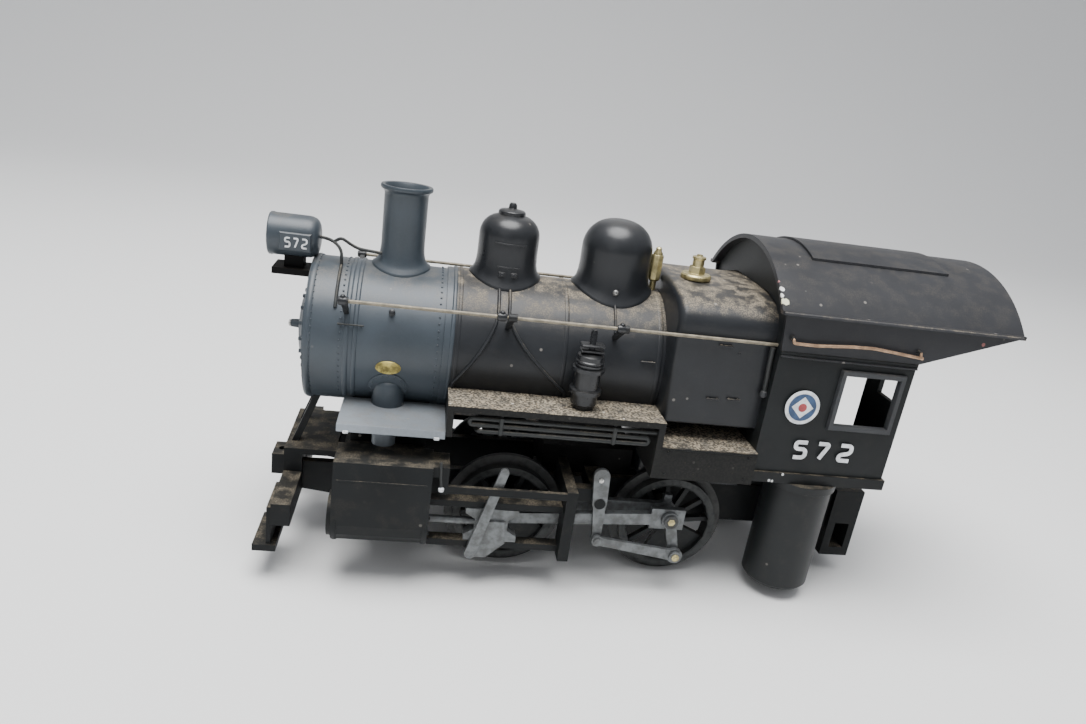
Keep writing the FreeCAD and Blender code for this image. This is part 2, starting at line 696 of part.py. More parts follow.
def cylinder_block(side):
    """Cylinder with a flat-topped steam chest, its web to the frame, and its bore and gland."""
    name = f"cylinder_block_{SIDES[side]}"
    sides = 7
    points = [(cyl_y - cyl_r + 1.2, chest_top), (cyl_y - cyl_r, chest_shoulder)]
    for i in range(sides + 1):
        angle = math.pi * i / sides
        points.append((cyl_y - cyl_r * math.cos(angle), cyl_z - cyl_r * math.sin(angle)))
    points += [(cyl_y + cyl_r, chest_shoulder), (cyl_y + cyl_r - 1.2, chest_top)]
    shell = pad(f"{name}_shell", "YZ", [(y * side, z) for y, z in points], cyl_x0, cyl_x1)
    web = box(f"{name}_web", (cyl_x0 + 3, cyl_x1 - 3), outward(side, frame_out, cyl_y),
              (cyl_z + 2, chest_shoulder))
    head = bar(f"{name}_head", "X", (cyl_x0 - 1.6, side * cyl_y, cyl_z), cyl_r - 1.2, 2)
    axis_y = side * cyl_y
    cutters = [bar(f"{name}_bore", "X", (cyl_x0 + cyl_wall, axis_y, cyl_z), bore_r, cyl_len - 2 * cyl_wall),
               bar(f"{name}_gland", "X", (cyl_x1 - cyl_wall - 1, axis_y, cyl_z), piston_rod_r + fit,
                   cyl_wall + 2)]
    return node(name, cut(f"{name}_cut", fuse(f"{name}_solid", [shell, web, head]), cutters))


# ---------------------------------------------------------------- frame, axles and motor

def side_frame(side):
    name = f"side_frame_{SIDES[side]}"
    outline = [(beam_x1, frame_bottom + 2), (cyl_x0, frame_bottom)]
    # horn blocks reach below the frame to hold the axles
    for x in (front_axle_x, rear_axle_x):
        outline += [(x - 8.0, frame_bottom), (x - 6.5, horn_bottom), (x + 6.5, horn_bottom),
                    (x + 8.0, frame_bottom)]
    outline += [(frame_rear, frame_bottom), (frame_rear, frame_top), (beam_x1, frame_top - 4)]
    holes = [(x, axle_z, axle_r + fit) for x in (rear_axle_x, front_axle_x)]
    y0, y1 = outward(side, frame_in, frame_out)
    return node(name, pad(f"{name}_plate", "XZ", outline, y0, y1, holes))


def frame_spacers():
    """Blocks that hold the two side frames apart; the rear one carries the worm shaft."""
    across = (-frame_in, frame_in)
    node("front_spacer", box("front_spacer_block", (cyl_x0, cyl_x1 - 8), across,
                             (frame_bottom + 4, frame_top)))
    rear = box("rear_spacer_block", (gear_r + rear_axle_x + 2, cab_x0 + 4), across,
               (frame_bottom + 4, frame_top))
    hole = bar("rear_spacer_bore", "X", (gear_r + rear_axle_x, 0, worm_z), shaft_r + fit, 8)
    node("rear_spacer", cut("rear_spacer_cut", rear, [hole]))


def axles():
    reach = wheel_face - 0.5
    plain = [(-reach, 0), (reach, 0), (reach, axle_r), (-reach, axle_r)]
    node("front_axle", turned("front_axle_body", "Y", plain, (front_axle_x, 0, axle_z)))
    half = 4.0
    geared = [(-reach, 0), (reach, 0), (reach, axle_r), (half, axle_r), (half, gear_r), (-half, gear_r),
              (-half, axle_r), (-reach, axle_r)]
    node("rear_axle", turned("rear_axle_body", "Y", geared, (rear_axle_x, 0, axle_z)))


def motor():
    half = frame_in
    case = box("motor_case_block", (motor_x0, motor_x0 + motor_len), (-half, half),
               (frame_bottom + 3, worm_z + 14))
    hollow = bar("motor_case_hollow", "X", (motor_x0 + 2, 0, worm_z), 9.5, motor_len - 4)
    hole = bar("motor_case_bearings", "X", (motor_x0 - 1, 0, worm_z), shaft_r + fit, motor_len + 2)
    node("motor_case", cut("motor_case_cut", case, [hollow, hole]))
    start = motor_x0 - 1
    core = motor_x0 + 5
    core_end = motor_x0 + motor_len - 5
    worm0 = rear_axle_x - 8
    worm1 = rear_axle_x + 8
    profile = [(start, 0), (worm1 + 6, 0), (worm1 + 6, shaft_r), (worm1, shaft_r), (worm1, worm_r),
               (worm0, worm_r),
               (worm0, shaft_r), (core_end, shaft_r), (core_end, 8.8), (core, 8.8), (core, shaft_r),
               (start, shaft_r)]
    node("armature", turned("armature_body", "X", profile, (0, 0, worm_z)))


def pilot():
    beam = box("pilot_beam_bar", (beam_x0, beam_x1), (-beam_half, beam_half), (beam_z0, beam_z1))
    feet = []
    for side in SIDES:
        hanger = box(f"pilot_hanger{side}", (beam_x0 - 1.6, beam_x0),
                     outward(side, 26, beam_half - 1.0), (14, beam_z1 - 2))
        board = box(f"pilot_board{side}", (beam_x0 - 6.4, beam_x0 + 2.0),
                    outward(side, 23, beam_half), (12.6, 15.2))
        feet += [hanger, board]
    node("pilot_beam", fuse("pilot_beam_solid", [beam] + feet))
    pocket = box("front_coupler_block", (beam_x0 - 7, beam_x0), (-6, 6), (beam_z0, beam_z1))
    hole = bar("front_coupler_bore", "Z", (beam_x0 - 3.6, 0, beam_z0 - 1), 1.6, beam_z1 - beam_z0 + 2)
    node("front_coupler", cut("front_coupler_cut", pocket, [hole]))
    deck = box("front_deck_plate", (beam_x0, cyl_x0 - 2), (-20, 20), (frame_top, frame_top + 2.4))
    legs = [box(f"front_deck_leg{side}", (beam_x0, beam_x1), outward(side, 8, 20),
                (beam_z1, frame_top)) for side in SIDES]
    braces = [strap(f"front_deck_brace{side}", side, (beam_x0 + 3, frame_top + 2),
                    (smokebox_x0 + 5, boiler_z - smokebox_r + 4.5),
                    1.3, 9, 13) for side in SIDES]
    barrel = bar("front_deck_clear", "X", (smokebox_x0 - 1, 0, boiler_z), smokebox_r, 40)
    node("front_deck", cut("front_deck_cut", fuse("front_deck_solid", [deck] + legs + braces), [barrel]))


# ---------------------------------------------------------------- boiler

def barrel_tool(label, radius):
    """A solid as long as the whole boiler, to shape what sits on it."""
    return bar(label, "X", (smokebox_x0 - 20, 0, boiler_z), radius, firebox_x0 - smokebox_x0 + 60)


def firebox_outline():
    """Cross-section of the firebox: rounded shoulders over a wide skirt and a narrow leg."""
    shoulders = [(1.0, 14.0), (0.93, 6.6), (0.78, 2.4), (0.5, 0.0)]
    right = [(firebox_half * share, firebox_top - drop) for share, drop in shoulders]
    left = [(-y, z) for y, z in reversed(right)]
    legs = [(-firebox_half, firebox_skirt), (-firebox_leg_half, firebox_skirt),
            (-firebox_leg_half, frame_top),
            (firebox_leg_half, frame_top), (firebox_leg_half, firebox_skirt), (firebox_half, firebox_skirt)]
    return legs + right + left


def boiler_shells():
    outer = bar("smokebox_outer", "X", (smokebox_x0, 0, boiler_z), smokebox_r, smokebox_x1 - smokebox_x0)
    band = bar("smokebox_band", "X", (smokebox_x1 - 3.4, 0, boiler_z), smokebox_r + 0.7, 3.4)
    inner = bar("smokebox_inner", "X", (smokebox_x0 + front_t, 0, boiler_z), smokebox_r - shell_t,
                smokebox_x1 - smokebox_x0)
    mouth = bar("smokebox_mouth", "X", (smokebox_x0 - 1, 0, boiler_z), door_r - 1.6, 4)
    pin = bar("door_hinge_pin", "Z", (door_hinge_x, door_hinge_y, boiler_z - 8.2), 0.6, 16.4)
    ears = [box(f"door_hinge_ear{i}", (door_hinge_x - 1.2, smokebox_x0),
                (door_hinge_y - 1.2, door_hinge_y + 1.2),
                (boiler_z + z, boiler_z + z + 1.6)) for i, z in enumerate((-8.2, 6.6))]
    node("smokebox", cut("smokebox_cut", fuse("smokebox_solid", [outer, band, pin] + ears), [inner, mouth]))
    outer = bar("boiler_outer", "X", (smokebox_x1, 0, boiler_z), boiler_r, firebox_x0 - smokebox_x1)
    inner = bar("boiler_inner", "X", (smokebox_x1 - 1, 0, boiler_z), boiler_r - shell_t,
                firebox_x0 - smokebox_x1 + 2)
    node("boiler", cut("boiler_cut", outer, [inner]))
    block = pad("firebox_block", "YZ", firebox_outline(), firebox_x0, cab_x0 + firebox_reach)
    hollow = box("firebox_hollow", (firebox_x0 + 2.5, cab_x0 + firebox_reach - 2.5),
                 (-firebox_leg_half + 2.5, firebox_leg_half - 2.5),
                 (frame_top - 1, firebox_top - 8))
    node("firebox", cut("firebox_cut", block, [hollow]))


def smokebox_door():
    """Domed door with a centre knob, its two hinge straps and their knuckle."""
    x = smokebox_x0 - gap
    profile = [(x, 0), (x, door_r), (x - 1.6, door_r - 0.3), (x - 3.2, door_r * 0.72),
               (x - 4.2, door_r * 0.3),
               (x - 4.2, 1.8), (x - 7.6, 1.5), (x - 7.6, 0)]
    dish = turned("smokebox_door_dish", "X", profile, (0, 0, boiler_z))
    straps = [box(f"smokebox_door_strap{i}", (x - 2.9, x - 0.4), (2.0, door_hinge_y),
                  (boiler_z + z, boiler_z + z + 2.2))
              for i, z in enumerate((-6.2, 4.0))]
    knuckle = bar("smokebox_door_knuckle", "Z", (door_hinge_x, door_hinge_y, boiler_z - 6.2), 1.3, 12.4)
    bore = bar("smokebox_door_bore", "Z", (door_hinge_x, door_hinge_y, boiler_z - 7), 0.6 + fit, 14)
    solid = fuse("smokebox_door_solid", [dish, knuckle] + straps)
    node("smokebox_door", cut("smokebox_door_cut", solid, [bore]))


def saddle():
    block = box("cylinder_saddle_block", (cyl_x0 + 3, cyl_x1 - 3), (-frame_out, frame_out),
                (frame_top, boiler_z - smokebox_r + 8))
    node("cylinder_saddle", cut("cylinder_saddle_cut", block, [barrel_tool("cylinder_saddle_barrel",
                                                                           smokebox_r)]))


def on_boiler(name, profile, x, radius):
    """A turned mounting that stands on the boiler, hollowed to the barrel's own radius."""
    body = turned(f"{name}_body", "Z", profile, (x, 0, 0))
    return node(name, cut(f"{name}_cut", body, [barrel_tool(f"{name}_barrel", radius)]))


def mountings():
    seat = boiler_z + smokebox_r - 6
    stack = [(stack_bore, seat), (stack_r + 3.2, seat), (stack_r + 3.2, seat + 6.4),
             (stack_r + 0.9, seat + 8.4),
             (stack_r, seat + 11), (stack_r, stack_top - 3.6), (stack_rim_r,
                                                                stack_top - 2.4), (stack_rim_r, stack_top),
             (stack_bore, stack_top)]
    on_boiler("smokestack", stack, stack_x, smokebox_r)
    seat = boiler_z + boiler_r - 9
    knob = sand_top + 4.2
    sand = [(0, seat), (sand_r + 2.6, seat), (sand_r + 2.0, seat + 8.5), (sand_r, seat + 12),
            (sand_r, sand_top - 9),
            (sand_r * 0.86, sand_top - 4.2), (sand_r * 0.55, sand_top - 0.9), (sand_r * 0.42, sand_top),
            (5.2, sand_top), (5.2, sand_top + 1.8), (1.8, sand_top + 2.4), (1.8, knob), (0, knob)]
    on_boiler("sand_dome", sand, sand_x, boiler_r)
    steam = [(0, seat), (steam_r + 1.5, seat), (steam_r + 1.3, seat + 8.5), (steam_r, seat + 12),
             (steam_r, steam_top - 11),
             (steam_r * 0.88, steam_top - 5.2), (steam_r * 0.6, steam_top - 1.2), (0, steam_top)]
    on_boiler("steam_dome", steam, steam_x, boiler_r)
    top = boiler_z + boiler_r
    bell = [(0, top - 3), (1.3, top - 3), (1.3, top + 4), (2.6, top + 5), (2.6, whistle_top - 3),
            (1.2, whistle_top - 1),
            (1.2, whistle_top), (0, whistle_top)]
    on_boiler("whistle", bell, whistle_x, boiler_r)
    pop = [(0, firebox_top), (6.0, firebox_top), (6.0, firebox_top + 2.2), (3.0, firebox_top + 3.0),
           (3.0, valve_seat_top - 3),
           (1.6, valve_seat_top - 2), (1.6, valve_seat_top), (0, valve_seat_top)]
    node("safety_valve", turned("safety_valve_body", "Z", pop, (valve_seat_x, valve_seat_y, 0)))


def headlight():
    x0, x1 = light_x0, light_x1
    inner = light_r - 1.4
    profile = [(x0, inner), (x0, light_r + 0.5), (x0 + 2, light_r + 0.5), (x0 + 2, light_r),
               (x1 - 4, light_r),
               (x1 - 1, light_r - 2), (x1, light_r - 5), (x1, 0), (x1 - 2, 0), (x1 - 2, light_r - 6),
               (x0 + 4.0, inner - 0.6), (x0 + 4.0, inner)]
    node("headlight", turned("headlight_body", "X", profile, (0, 0, light_z)))
    lens = [(x0 + 1.2, 0), (x0 + 1.2, inner), (x0 + 3.0, inner), (x0 + 3.0, 0)]
    node("headlight_lens", turned("headlight_lens_body", "X", lens, (0, 0, light_z)))
    shelf_z = boiler_z + smokebox_r - 7.0
    shelf = box("headlight_shelf", (x0 + 2, smokebox_x0), (-6.5, 6.5), (shelf_z, shelf_z + 2.4))
    post = box("headlight_post", (x0 + 6, x0 + 13), (-3.5, 3.5), (shelf_z, light_z))
    clear = bar("headlight_clear", "X", (x0 - 1, 0, light_z), light_r, 30)
    node("headlight_bracket", cut("headlight_bracket_cut", fuse("headlight_bracket_solid",
                                                                [shelf, post]), [clear]))


def handrail(side):
    name = f"handrail_{SIDES[side]}"
    y = side * rail_y
    wire = bar(f"{name}_wire", "X", (rail_x0, y, rail_z), rail_r, cab_x0 - rail_x0)
    rise = rail_z - boiler_z
    reach = root(rail_y * rail_y + rise * rise)
    posts = []
    for i, x in enumerate((rail_x0 + 2, sand_x + 1.0, steam_x - 1.0)):
        start = boiler_r - 0.6 if i else smokebox_r - 0.6
        y0, y1 = outward(side, start * rail_y / reach, rail_y)
        base_z = boiler_z + start * rise / reach
        outline = [(y0, base_z - 0.9), (y1, rail_z - 0.9), (y1, rail_z + 0.9), (y0, base_z + 0.9)]
        if side == LEFT:
            outline = [(y0, rail_z - 0.9), (y1, base_z - 0.9), (y1, base_z + 0.9), (y0, rail_z + 0.9)]
        posts.append(pad(f"{name}_post{i}", "YZ", outline, x - 0.9, x + 0.9))
        posts.append(bar(f"{name}_collar{i}", "X", (x - 1.6, y, rail_z), rail_r + 0.8, 3.2))
    barrels = [barrel_tool(f"{name}_barrel", smokebox_r)]
    barrels.append(bar(f"{name}_barrel_rear", "X", (smokebox_x1, 0, boiler_z), boiler_r, 90))
    return node(name, cut(f"{name}_cut", fuse(f"{name}_solid", [wire] + posts), barrels))


def air_pump():
    """Two flanged cylinders one above the other on the left running board."""
    z = board_top
    r = pump_r
    high = pump_top - board_top
    profile = [(0, z), (r, z), (r, z + 1.6), (r - 1.6, z + 2.6),
               (r - 1.6, z + high * 0.36), (r, z + high * 0.4),
               (r, z + high * 0.46), (r - 3.4, z + high * 0.5),
               (r - 3.4, z + high * 0.6), (r, z + high * 0.62),
               (r, z + high * 0.68), (r - 1.4, z + high * 0.71),
               (r - 1.4, z + high * 0.88), (r, z + high * 0.9),
               (r, z + high * 0.95), (0, z + high)]
    node("air_pump", turned("air_pump_body", "Z", profile, (pump_x, -(boiler_r + r + 0.8), 0)))


# ---------------------------------------------------------------- running boards, cab and roof

def running_board(side):
    """Raised board with its drop to the front plate, and the long box in front of the cab."""
    name = f"running_board_{SIDES[side]}"
    rear = step_x0
    top = box(f"{name}_top", (board_x0, rear), outward(side, 20, board_half),
              (board_top - board_t, board_top))
    drop = box(f"{name}_drop", (board_x0, board_x0 + board_t), outward(side, 20, board_half),
               (front_plate_top - plate_t, board_top))
    wall = box(f"{name}_rear_drop", (rear - board_t, rear), outward(side, 20, board_half),
               (step_bottom, board_top))
    step = box(f"{name}_step", (step_x0, cab_x0), outward(side, firebox_leg_half, board_half),
               (step_bottom, step_top))
    barrel = barrel_tool(f"{name}_barrel", boiler_r)
    return node(name, cut(f"{name}_cut", fuse(f"{name}_solid", [top, drop, wall, step]), [barrel]))


def front_plate(side):
    name = f"front_plate_{SIDES[side]}"
    plate = box(f"{name}_sheet", (front_plate_x0, board_x0), outward(side, frame_out, front_plate_half),
                (front_plate_top - plate_t, front_plate_top))
    lip = box(f"{name}_lip", (front_plate_x0, board_x0),
              outward(side, front_plate_half - plate_t, front_plate_half),
              (front_plate_top - 3.0, front_plate_top))
    pipe = bar(f"{name}_pipe", "Z", (stack_x - 1, side * (cyl_y - steam_pipe_in), chest_top), 4.4,
               front_plate_top - chest_top)
    barrels = [barrel_tool(f"{name}_barrel", smokebox_r + 0.7)]
    return node(name, cut(f"{name}_cut", fuse(f"{name}_solid", [plate, lip, pipe]), barrels))


def arch(label, radius_less, x0, x1):
    """A solid with the roof's curve, a given amount inside its outer face."""
    radius = (roof_half * roof_half + roof_rise * roof_rise) / (2 * roof_rise)
    return bar(label, "X", (x0, 0, eave_z + roof_rise - radius), radius - radius_less, x1 - x0)


def cab():
    half = cab_half
    walls = []
    for side in SIDES:
        walls.append(box(f"cab_side{side}", (cab_x0, cab_x1), outward(side, half - cab_t, half),
                         (floor_z, cab_top)))
        walls.append(box(f"cab_ledge{side}", (cab_x0, cab_x1),
                         outward(side, half - cab_t, half + 0.9), (cab_top - 1.6, cab_top)))
    inside = roof_half - skirt_in
    front = box("cab_front_sheet", (cab_x0, cab_x0 + cab_t), (-inside, inside),
                (floor_z, eave_z + roof_rise))
    front = common("cab_front", front, arch("cab_front_arch", roof_t, cab_x0 - 1, cab_x0 + 5))
    lower = box("cab_front_lower", (cab_x0, cab_x0 + cab_t), (-half, half), (floor_z, cab_top))
    rear_span = (cab_x1 - cab_t, cab_x1)
    rear_top = box("cab_rear_sheet", rear_span, (-inside, inside), (floor_z, eave_z + roof_rise))
    rear_top = common("cab_rear", rear_top, arch("cab_rear_arch", roof_t, cab_x1 - 5, cab_x1 + 1))
    rear_lower = box("cab_rear_lower", rear_span, (-half, half), (floor_z, cab_top))
    beyond = (cab_x1 - cab_t - 1, cab_x1 + 1)
    openings = [box("cab_doorway", beyond, (-doorway_half, doorway_half), (floor_z - 1, doorway_top))]
    for side in SIDES:
        openings.append(box(f"cab_rear_window{side}", beyond,
                            outward(side, rear_window_in, rear_window_out),
                            (rear_window_z0, rear_window_z1)))
    windows = box("cab_window", (window_x0, window_x1), (-half - 5, half + 5), (window_z0, window_z1))
    boiler_hole = pad("cab_boiler_hole", "YZ", firebox_outline(), cab_x0 - 1, cab_x0 + cab_t + 1)
    solid = fuse("cab_solid", walls + [front, lower, rear_top, rear_lower])
    node("cab", cut("cab_cut", solid, [windows, boiler_hole] + openings))
    floor = box("cab_floor_plate", (cab_x0, cab_x1 + 1), (-half - 1.2, half + 1.2),
                (floor_z - floor_t, floor_z))
    beams = [box(f"cab_floor_beam{side}", (cab_x0 + 4.5, frame_rear), outward(side, frame_in, frame_out),
                 (frame_top, floor_z - floor_t)) for side in SIDES]
    leg = pad("cab_floor_leg_hole", "YZ", firebox_outline(), cab_x0 - 1, cab_x0 + firebox_reach)
    node("cab_floor", cut("cab_floor_cut", fuse("cab_floor_solid", [floor] + beams), [leg]))


def roof():
    outer = arch("roof_outer", 0, roof_x0, roof_x1)
    inner = arch("roof_inner", roof_t, roof_x0 - 1, roof_x1 + 1)
    span = box("roof_span", (roof_x0, roof_x1), (-roof_half, roof_half), (eave_z, eave_z + roof_rise + 1))
    vault = common("roof_vault", cut("roof_shell", outer, [inner]), span)
    skirts = []
    for side in SIDES:
        outline = [(roof_x0 + 2, eave_z + 0.4), (roof_x0 + 3.5, cab_top), (cab_x1, cab_top),
                   (roof_x1, eave_z - 0.6),
                   (roof_x1, eave_z + 0.4)]
        y0, y1 = outward(side, roof_half - skirt_in, roof_half - 1.0)
        skirts.append(pad(f"roof_skirt{side}", "XZ", outline, y0, y1))
        skirts.append(box(f"roof_gutter{side}", (roof_x0, roof_x1),
                          outward(side, roof_half - 2.0, roof_half + 0.8),
                          (eave_z - 0.6, eave_z + 0.8)))
    return node("cab_roof", fuse("cab_roof_solid", [vault] + skirts))


def roof_hatch():
    outer = arch("hatch_outer", -0.9, hatch_x0, hatch_x1)
    inner = arch("hatch_inner", 0, hatch_x0 - 1, hatch_x1 + 1)
    span = box("hatch_span", (hatch_x0, hatch_x1), (-hatch_half, hatch_half),
               (eave_z, eave_z + roof_rise + 3))
    node("roof_hatch", common("roof_hatch_sheet", cut("hatch_shell", outer, [inner]), span))


def under_cab_tank(side):
    name = f"under_cab_tank_{SIDES[side]}"
    top = floor_z - floor_t
    profile = [(0, tank_z0), (tank_r - 1.4, tank_z0), (tank_r, tank_z0 + 1.6), (tank_r, top - 3.0),
               (tank_r + 1.0, top - 3.0),
               (tank_r + 1.0, top), (0, top)]
    return node(name, turned(f"{name}_body", "Z", profile, (tank_x, side * tank_y, 0)))


def rear_pocket():
    block = box("rear_pocket_block", (frame_rear, frame_rear + 13), (-20, 20), (9, 41))
    slot = box("rear_pocket_slot", (frame_rear + 3.5, frame_rear + 10), (-21, 21), (13, 25))
    pin = bar("rear_pocket_bore", "Z", (frame_rear + 6.5, 0, 8), 1.8, 40)
    node("rear_pocket", cut("rear_pocket_cut", block, [slot, pin]))


# ---------------------------------------------------------------- the whole engine

def check_and_write():
    doc.recompute()
    faults = [item.Label for item in doc.Objects if "Invalid" in item.State or "Error" in item.State]
    faults += [name for name, piece in nodes.items() if piece.Shape.isNull() or not piece.Shape.isValid()]
    if faults:
        raise RuntimeError(f"these objects did not build: {faults}")
    os.makedirs("parts", exist_ok=True)
    for name, piece in nodes.items():
        piece.Shape.exportStep(f"parts/{name}.step")
        print(name, len(piece.Shape.Solids), round(piece.Shape.Volume))


frame_spacers()
axles()
motor()
pilot()
boiler_shells()
smokebox_door()
saddle()
mountings()
headlight()
air_pump()
cab()
roof()
roof_hatch()
rear_pocket()
for side in SIDES:
    side_frame(side)
    cylinder_block(side)
    guide_frame(side)
    wheel(f"rear_wheel_{SIDES[side]}", side, rear_axle_x)
    wheel(f"front_wheel_{SIDES[side]}", side, front_axle_x)
    main_crank_pin(side)
    side_rod(side)
    main_rod(side)
    eccentric_rod(side)
    expansion_link(side)
    crosshead(side)
    combination_lever(side)
    handrail(side)
    running_board(side)
    front_plate(side)
    under_cab_tank(side)
check_and_write()
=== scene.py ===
"""Finishes and small trim of a model steam engine, built around its CAD frame.

Lengths in this file are in millimetres until a mesh is made. X runs from the front of the engine (-X) to
its cab, Y across it with the left side at -Y, and Z up from the rail.
"""

import json

import bpy
import numpy as np
from bpy.props import FloatProperty, FloatVectorProperty, IntProperty, PointerProperty
from mathutils import Matrix, Vector


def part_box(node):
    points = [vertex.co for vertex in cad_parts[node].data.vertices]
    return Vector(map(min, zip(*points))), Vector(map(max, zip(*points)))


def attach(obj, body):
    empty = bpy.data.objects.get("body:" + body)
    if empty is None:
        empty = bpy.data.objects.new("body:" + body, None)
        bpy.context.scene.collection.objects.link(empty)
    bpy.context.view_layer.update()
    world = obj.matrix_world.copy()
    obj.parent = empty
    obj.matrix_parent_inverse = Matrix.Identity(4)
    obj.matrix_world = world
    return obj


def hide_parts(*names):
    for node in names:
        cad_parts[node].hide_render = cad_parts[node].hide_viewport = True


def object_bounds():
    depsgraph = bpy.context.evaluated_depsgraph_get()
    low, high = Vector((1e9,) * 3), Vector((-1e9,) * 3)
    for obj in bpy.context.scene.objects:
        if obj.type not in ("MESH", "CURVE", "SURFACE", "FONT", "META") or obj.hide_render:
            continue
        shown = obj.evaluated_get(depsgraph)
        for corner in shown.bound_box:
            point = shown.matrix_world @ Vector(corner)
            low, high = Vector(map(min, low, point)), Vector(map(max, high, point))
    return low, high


bl_info = {
    "name": "Model steam engine",
    "version": (1, 0, 0),
    "blender": (4, 5, 0),
    "location": "3D View > Sidebar > Steam engine",
    "description": "Paints a model steam engine and adds its rivets, pipes, rails and fittings",
    "category": "Object",
}

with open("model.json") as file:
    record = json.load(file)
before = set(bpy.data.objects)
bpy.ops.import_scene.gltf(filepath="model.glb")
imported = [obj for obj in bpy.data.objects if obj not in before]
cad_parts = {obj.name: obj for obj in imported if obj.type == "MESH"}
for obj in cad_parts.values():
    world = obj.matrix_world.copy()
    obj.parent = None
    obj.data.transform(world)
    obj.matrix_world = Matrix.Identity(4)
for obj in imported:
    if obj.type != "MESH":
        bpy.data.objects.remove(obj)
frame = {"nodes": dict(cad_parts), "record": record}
CAD_BOX = [list(corner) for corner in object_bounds()]
NODES = frame["nodes"]
MM = 0.001
LEFT, RIGHT = -1, 1
SIDES = {LEFT: "left", RIGHT: "right"}
SMOOTH_ANGLE = np.radians(38)


def span(node):
    """Lowest and highest corner of a CAD node, in millimetres."""
    low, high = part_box(node)
    return np.array(low) / MM, np.array(high) / MM


BOILER, FIREBOX = span("boiler"), span("firebox")
CAB, ROOF = span("cab"), span("cab_roof")
BARREL_Z = (BOILER[0][2] + BOILER[1][2]) / 2
BARREL_R = (BOILER[1][2] - BOILER[0][2]) / 2
SMOKEBOX_R, SMOKEBOX_X = 27.6, -126.0
AXLE_Z = 24.0
AXLE_X = {"rear": 24.1, "front": -44.8}
CRANK_R, ECCENTRIC_R = 8.5, 6.2
CRANK_ANGLE = {LEFT: np.radians(112), RIGHT: np.radians(22)}
ECCENTRIC_ANGLE = {LEFT: np.radians(-87), RIGHT: np.radians(-177)}
CYLINDER_Y, CYLINDER_Z, CYLINDER_R = 41.5, 27.6, 9.6
MAIN_ROD, LINK_X = 72.2, -9.4
CRANK_HEAD_Y = 41.2
RAIL_Y, RAIL_Z = 38.0, 108.5
STACK_X, STACK_R = -93.4, 8.2
SAND_DOME_X, SAND_DOME_R = -53.2, 11.7
STEAM_DOME_X, STEAM_DOME_R = -10.1, 14.0
STEAM_PIPE_X, STEAM_PIPE_ANGLE = -94.4, np.radians(121)
ENGINE_NUMBER = "572"


# ---------------------------------------------------------------- sizes and colours a user may change


class EngineTrimSizes(bpy.types.PropertyGroup):
    rivet_radius: FloatProperty(
        name="Rivet radius", description="Radius of the smokebox rivets", default=0.00042, unit="LENGTH")
    rivet_height: FloatProperty(
        name="Rivet height", description="How far a rivet stands out", default=0.00038, unit="LENGTH")
    rivets_around: IntProperty(
        name="Rivets around", description="Rivets in one full turn of the smokebox", default=66, min=12)
    pipe_radius: FloatProperty(
        name="Sand pipe radius", description="Radius of the sand pipes", default=0.00062, unit="LENGTH")
    wire_radius: FloatProperty(
        name="Wire radius", description="Radius of the headlight's wires", default=0.0006, unit="LENGTH")
    cooling_radius: FloatProperty(
        name="Cooling pipe radius", description="Radius of the pipes under the boards", default=0.00085,
        unit="LENGTH")
    window_frame: FloatProperty(
        name="Window frame width", description="Width of the cab window frame's bars", default=0.0021,
        unit="LENGTH")


class EnginePaints(bpy.types.PropertyGroup):
    graphite: FloatVectorProperty(
        name="Graphite", description="Paint of the smokebox, stack and headlight", subtype="COLOR",
        default=(0.038, 0.049, 0.060))
    black: FloatVectorProperty(
        name="Engine black", description="Paint of the boiler and domes", subtype="COLOR",
        default=(0.0165, 0.0180, 0.0205))
    cab_black: FloatVectorProperty(
        name="Cab black", description="Paint of the cab's sides", subtype="COLOR",
        default=(0.0110, 0.0125, 0.0132))
    roof_black: FloatVectorProperty(
        name="Roof black", description="Paint of the roof", subtype="COLOR", default=(0.0190, 0.0198, 0.0225))
    chassis: FloatVectorProperty(
        name="Chassis black", description="Paint of frames, tanks and cylinders", subtype="COLOR",
        default=(0.0080, 0.0090, 0.0095))
    dust: FloatVectorProperty(
        name="Dust", description="Dust that lies on upward faces", subtype="COLOR",
        default=(0.255, 0.215, 0.155))
    rods: FloatVectorProperty(
        name="Rod metal", description="Side rods, main rods and crossheads", subtype="COLOR",
        default=(0.13, 0.138, 0.142))
    brass: FloatVectorProperty(
        name="Brass", description="Whistle, safety valve and bolts", subtype="COLOR",
        default=(0.50, 0.43, 0.22))


class EngineStageSettings(bpy.types.PropertyGroup):
    camera_place: FloatVectorProperty(
        name="Camera place", description="Where the camera stands", subtype="XYZ", unit="LENGTH",
        default=(-0.084806, -0.319783, 0.188320))
    camera_pitch: FloatProperty(
        name="Camera pitch", description="How far the camera looks down", unit="ROTATION", default=0.364466)
    camera_yaw: FloatProperty(
        name="Camera yaw", description="How far the camera turns to the cab", unit="ROTATION",
        default=0.174304)
    camera_roll: FloatProperty(
        name="Camera roll", description="How far the camera leans", unit="ROTATION", default=0.148694)
    shift: FloatVectorProperty(
        name="Shift", description="How far the picture is shifted in the camera", size=2,
        default=(-0.00515, 0.03357))
    lens: FloatProperty(
        name="Lens", description="Focal length on a 36 mm sensor", unit="CAMERA", default=27.354)
    floor_colour: FloatVectorProperty(
        name="Floor", description="Colour of the floor", subtype="COLOR", default=(0.80, 0.80, 0.79))
    key_power: FloatProperty(name="Key light", description="Power of the large soft light", default=25.0)
    fill_power: FloatProperty(name="Fill light", description="Power of the second soft light", default=0.7)
    sky_low: FloatProperty(name="Low sky", description="Strength of the light from the horizon", default=0.14)
    sky_high: FloatProperty(name="High sky", description="Strength of the light from overhead", default=1.0)


# ---------------------------------------------------------------- surfaces worked out as arrays


